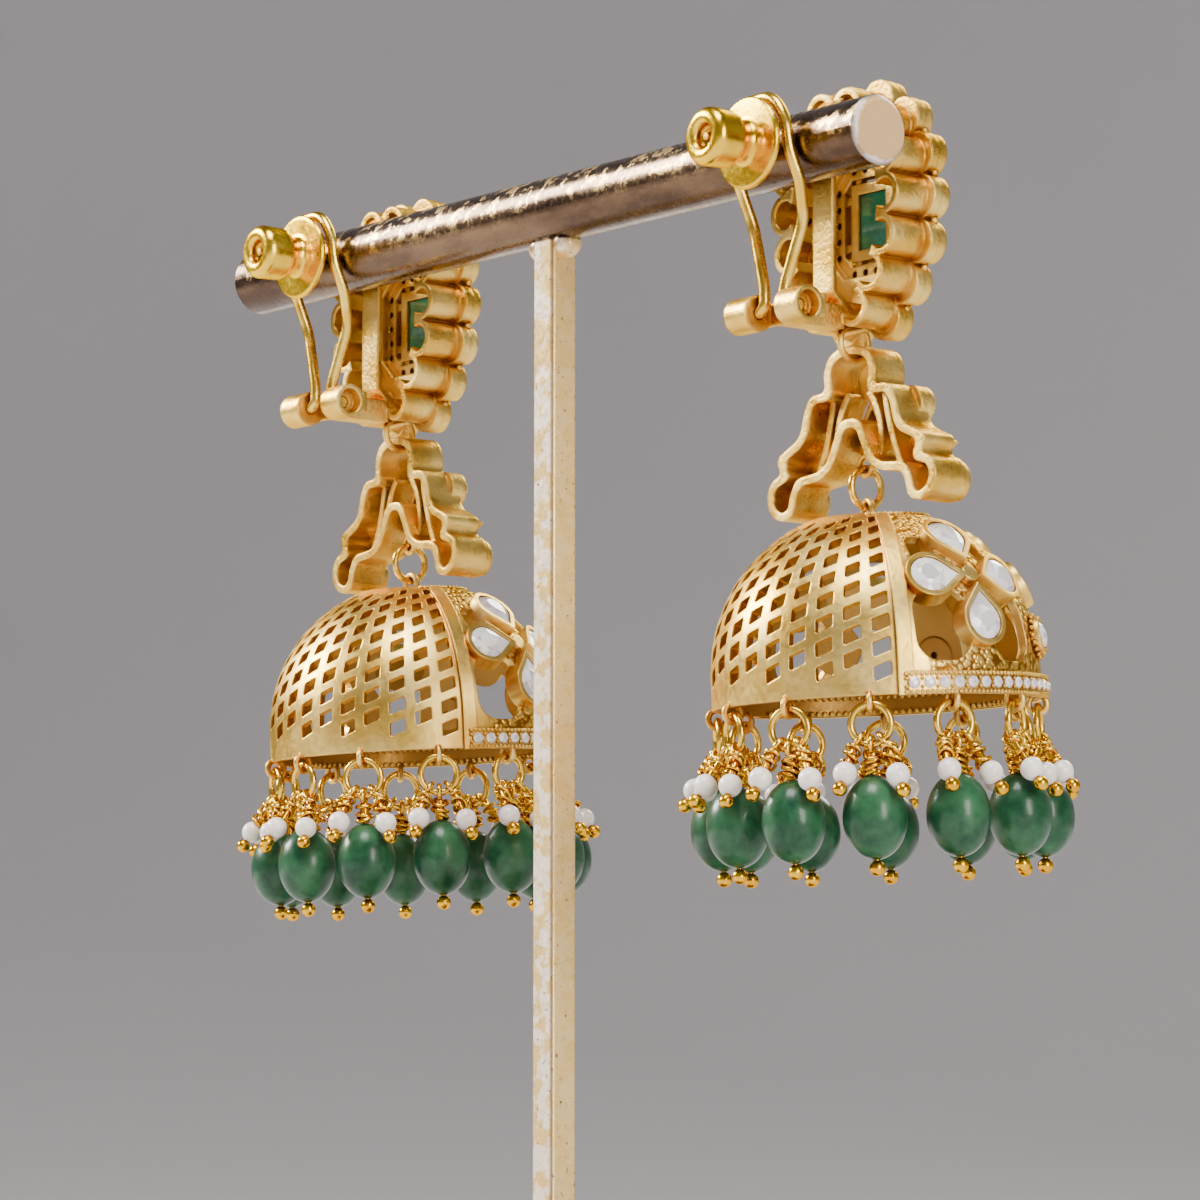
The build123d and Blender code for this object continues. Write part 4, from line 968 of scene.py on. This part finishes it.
# wire wraps on the headpins
fringe = {
    "clusters": 12, "rimRadius": 17.8, "jumpZ": -64.3, "jumpMean": 2.2, "eyeMean": 0.85,
    "turns": (6, -8, 10, -4, 7, -10, 3, 9, -6, 5, -9, 4),
    "beadTop": -69.8, "wire": 0.25, "wrapRadius": 0.80, "wrapTurns": 2.9, "wrapMess": 0.6,
    "pearlWire": 0.22, "pearlWrap": 0.9, "pearlTurns": 2.4, "pearlMess": 0.65,
    "beadGap": 0.35, "pearlGap": 0.15, "wrapStart": 0.1,
    "pearls": ((38.0, (2.5, 2.6, -69.6)), (-38.0, (-3.15, 1.95, -69.95))), "pearlRadius": 1.3,
}


def clusterPlace(index):
    angle = 360 / fringe["clusters"] * index
    a = math.radians(angle)
    at = shift(fringe["rimRadius"] * math.cos(a), fringe["rimRadius"] * math.sin(a), 0)
    return at @ turn(angle - 90 + fringe["turns"][index], "Z")


for side in layout["sides"]:
    places = sidePlaces(side)
    wraps = []
    for index in range(fringe["clusters"]):
        place = places["bell"] @ clusterPlace(index)
        top = fringe["jumpZ"] - fringe["jumpMean"] - fringe["eyeMean"]
        length = top - fringe["beadTop"] - fringe["beadGap"]
        turns = fringe["wrapTurns"] + random.uniform(-0.5, 0.6)
        loops = coil(length, fringe["wrapRadius"], fringe["wire"], turns, fringe["wrapMess"])
        start = shift(0, 0, top - fringe["wrapStart"]) @ turn(random.uniform(0, 360), "Z")
        wraps.append(moved(loops, place @ start))
        for footAngle, middle in fringe["pearls"]:
            a = math.radians(footAngle)
            jump = fringe["jumpMean"]
            eye = Vector((jump * math.sin(a), 0, fringe["jumpZ"] - jump * math.cos(a)))
            tangent = Vector((math.cos(a), 0, math.sin(a)))
            pearl = Vector(middle)
            away = pearl - eye
            across = (away - tangent * away.dot(tangent)).normalized()
            start = eye + across * fringe["eyeMean"]
            along = (pearl - start).normalized()
            length = (pearl - start).length - fringe["pearlRadius"] - fringe["pearlGap"]
            facing = (-along).to_track_quat("Z", "Y").to_matrix().to_4x4()
            turns = fringe["pearlTurns"] + random.uniform(-0.5, 0.7)
            radius = fringe["wrapRadius"] * fringe["pearlWrap"]
            loops = coil(length, radius, fringe["pearlWire"], turns, fringe["pearlMess"])
            wraps.append(moved(loops, place @ Matrix.Translation(start) @ facing))
    addPiece(side + "_wire_wraps", wraps, "orangeGold", side + "_bell")
print("wire wraps wound")

# floor, backdrop, light and camera
studio = {
    "floor": (0.66, 0.64, 0.66),
    "floorDip": 0.96,
    "flatRadius": 1.3,
    "curveRadius": 1.1,
    "wallTop": 3.2,
    "world": (0.62, 0.62, 0.68),
    "worldStrength": 0.22,
}


def makeFloor():
    # a round pale sweep: flat floor, curved foot, upright wall, open at the top
    profile = [(0.0, 0.0), (0.4, 0.0), (0.9, 0.0), (studio["flatRadius"], 0.0)]
    for k in range(1, 13):
        a = math.radians(90 * k / 12)
        profile.append((studio["flatRadius"] + studio["curveRadius"] * math.sin(a),
                        studio["curveRadius"] * (1 - math.cos(a))))
    profile.append((studio["flatRadius"] + studio["curveRadius"], studio["wallTop"]))
    sides = 96
    points = [(0.0, 0.0, 0.0)]
    for r, z in profile[1:]:
        points += [(r * math.cos(2 * math.pi * k / sides), r * math.sin(2 * math.pi * k / sides), z)
                   for k in range(sides)]
    faces = [(0, 1 + k, 1 + (k + 1) % sides) for k in range(sides)]
    for row in range(len(profile) - 2):
        a, b = 1 + row * sides, 1 + (row + 1) * sides
        faces += [(a + k, b + k, b + (k + 1) % sides, a + (k + 1) % sides) for k in range(sides)]
    mesh = bpy.data.meshes.new("floor")
    mesh.from_pydata(points, [], faces)
    mesh.polygons.foreach_set("use_smooth", [True] * len(mesh.polygons))
    material, tree, shader = newMaterial("paleSweep", Roughness=0.85)
    coords = coordinates(tree)
    faint = noiseNode(tree, coords, 3.0, 2.0)
    low = tuple(c * studio["floorDip"] for c in studio["floor"])
    tree.links.new(mixColour(tree, faint, low, studio["floor"]), shader.inputs["Base Color"])
    mesh.materials.append(material)
    floor = bpy.data.objects.new("floor", mesh)
    bpy.context.scene.collection.objects.link(floor)


makeFloor()
world = bpy.data.worlds.new("studio")
bpy.context.scene.world = world
world.use_nodes = True
background = world.node_tree.nodes["Background"]
background.inputs["Color"].default_value = (*studio["world"], 1.0)
background.inputs["Strength"].default_value = studio["worldStrength"]

# name: azimuth and elevation of the lamp seen from the object, distance, size, power, colour
lamps = {
    "keySoftbox": {"azimuth": 122.0, "elevation": 30.0, "distance": 0.95, "size": (0.42, 0.24), "power": 19.5,
                   "colour": (1.0, 0.95, 0.88)},
    "topSoftbox": {"azimuth": 215.0, "elevation": 68.0, "distance": 1.0, "size": (0.45, 0.45), "power": 13.5,
                   "colour": (1.0, 0.97, 0.93)},
    "fillSoftbox": {"azimuth": 262.0, "elevation": 12.0, "distance": 1.2, "size": (0.35, 0.6), "power": 12.5,
                    "colour": (1.0, 0.96, 0.90)},
    "frontSoftbox": {"azimuth": 20.0, "elevation": 35.0, "distance": 1.2, "size": (0.5, 0.4), "power": 9.0,
                     "colour": (1.0, 0.97, 0.93)},
}
aim = Vector((0, -0.005, 0.095))
for name, row in lamps.items():
    lamp = bpy.data.lights.new(name, "AREA")
    lamp.shape = "RECTANGLE"
    lamp.size, lamp.size_y = row["size"]
    lamp.energy = row["power"]
    lamp.color = row["colour"]
    a, e = math.radians(row["azimuth"]), math.radians(row["elevation"])
    away = Vector((math.sin(a) * math.cos(e), -math.cos(a) * math.cos(e), math.sin(e)))
    holder = bpy.data.objects.new(name, lamp)
    holder.location = aim + away * row["distance"]
    holder.rotation_euler = away.to_track_quat("Z", "Y").to_euler()
    bpy.context.scene.collection.objects.link(holder)

viewer = {
    "place": (-0.4586, 0.3553, 0.0199),
    "looksAlong": (0.7794, -0.6153, 0.1179),
    "lens": 150.2,
    "sensor": 36.0,
}
camera = bpy.data.cameras.new("camera")
camera.lens = viewer["lens"]
camera.sensor_width = viewer["sensor"]
camera.clip_start, camera.clip_end = 0.01, 20.0
cameraHolder = bpy.data.objects.new("camera", camera)
cameraHolder.location = viewer["place"]
cameraHolder.rotation_euler = Vector(viewer["looksAlong"]).to_track_quat("-Z", "Y").to_euler()
bpy.context.scene.collection.objects.link(cameraHolder)
bpy.context.scene.camera = cameraHolder
print("studio and camera ready")
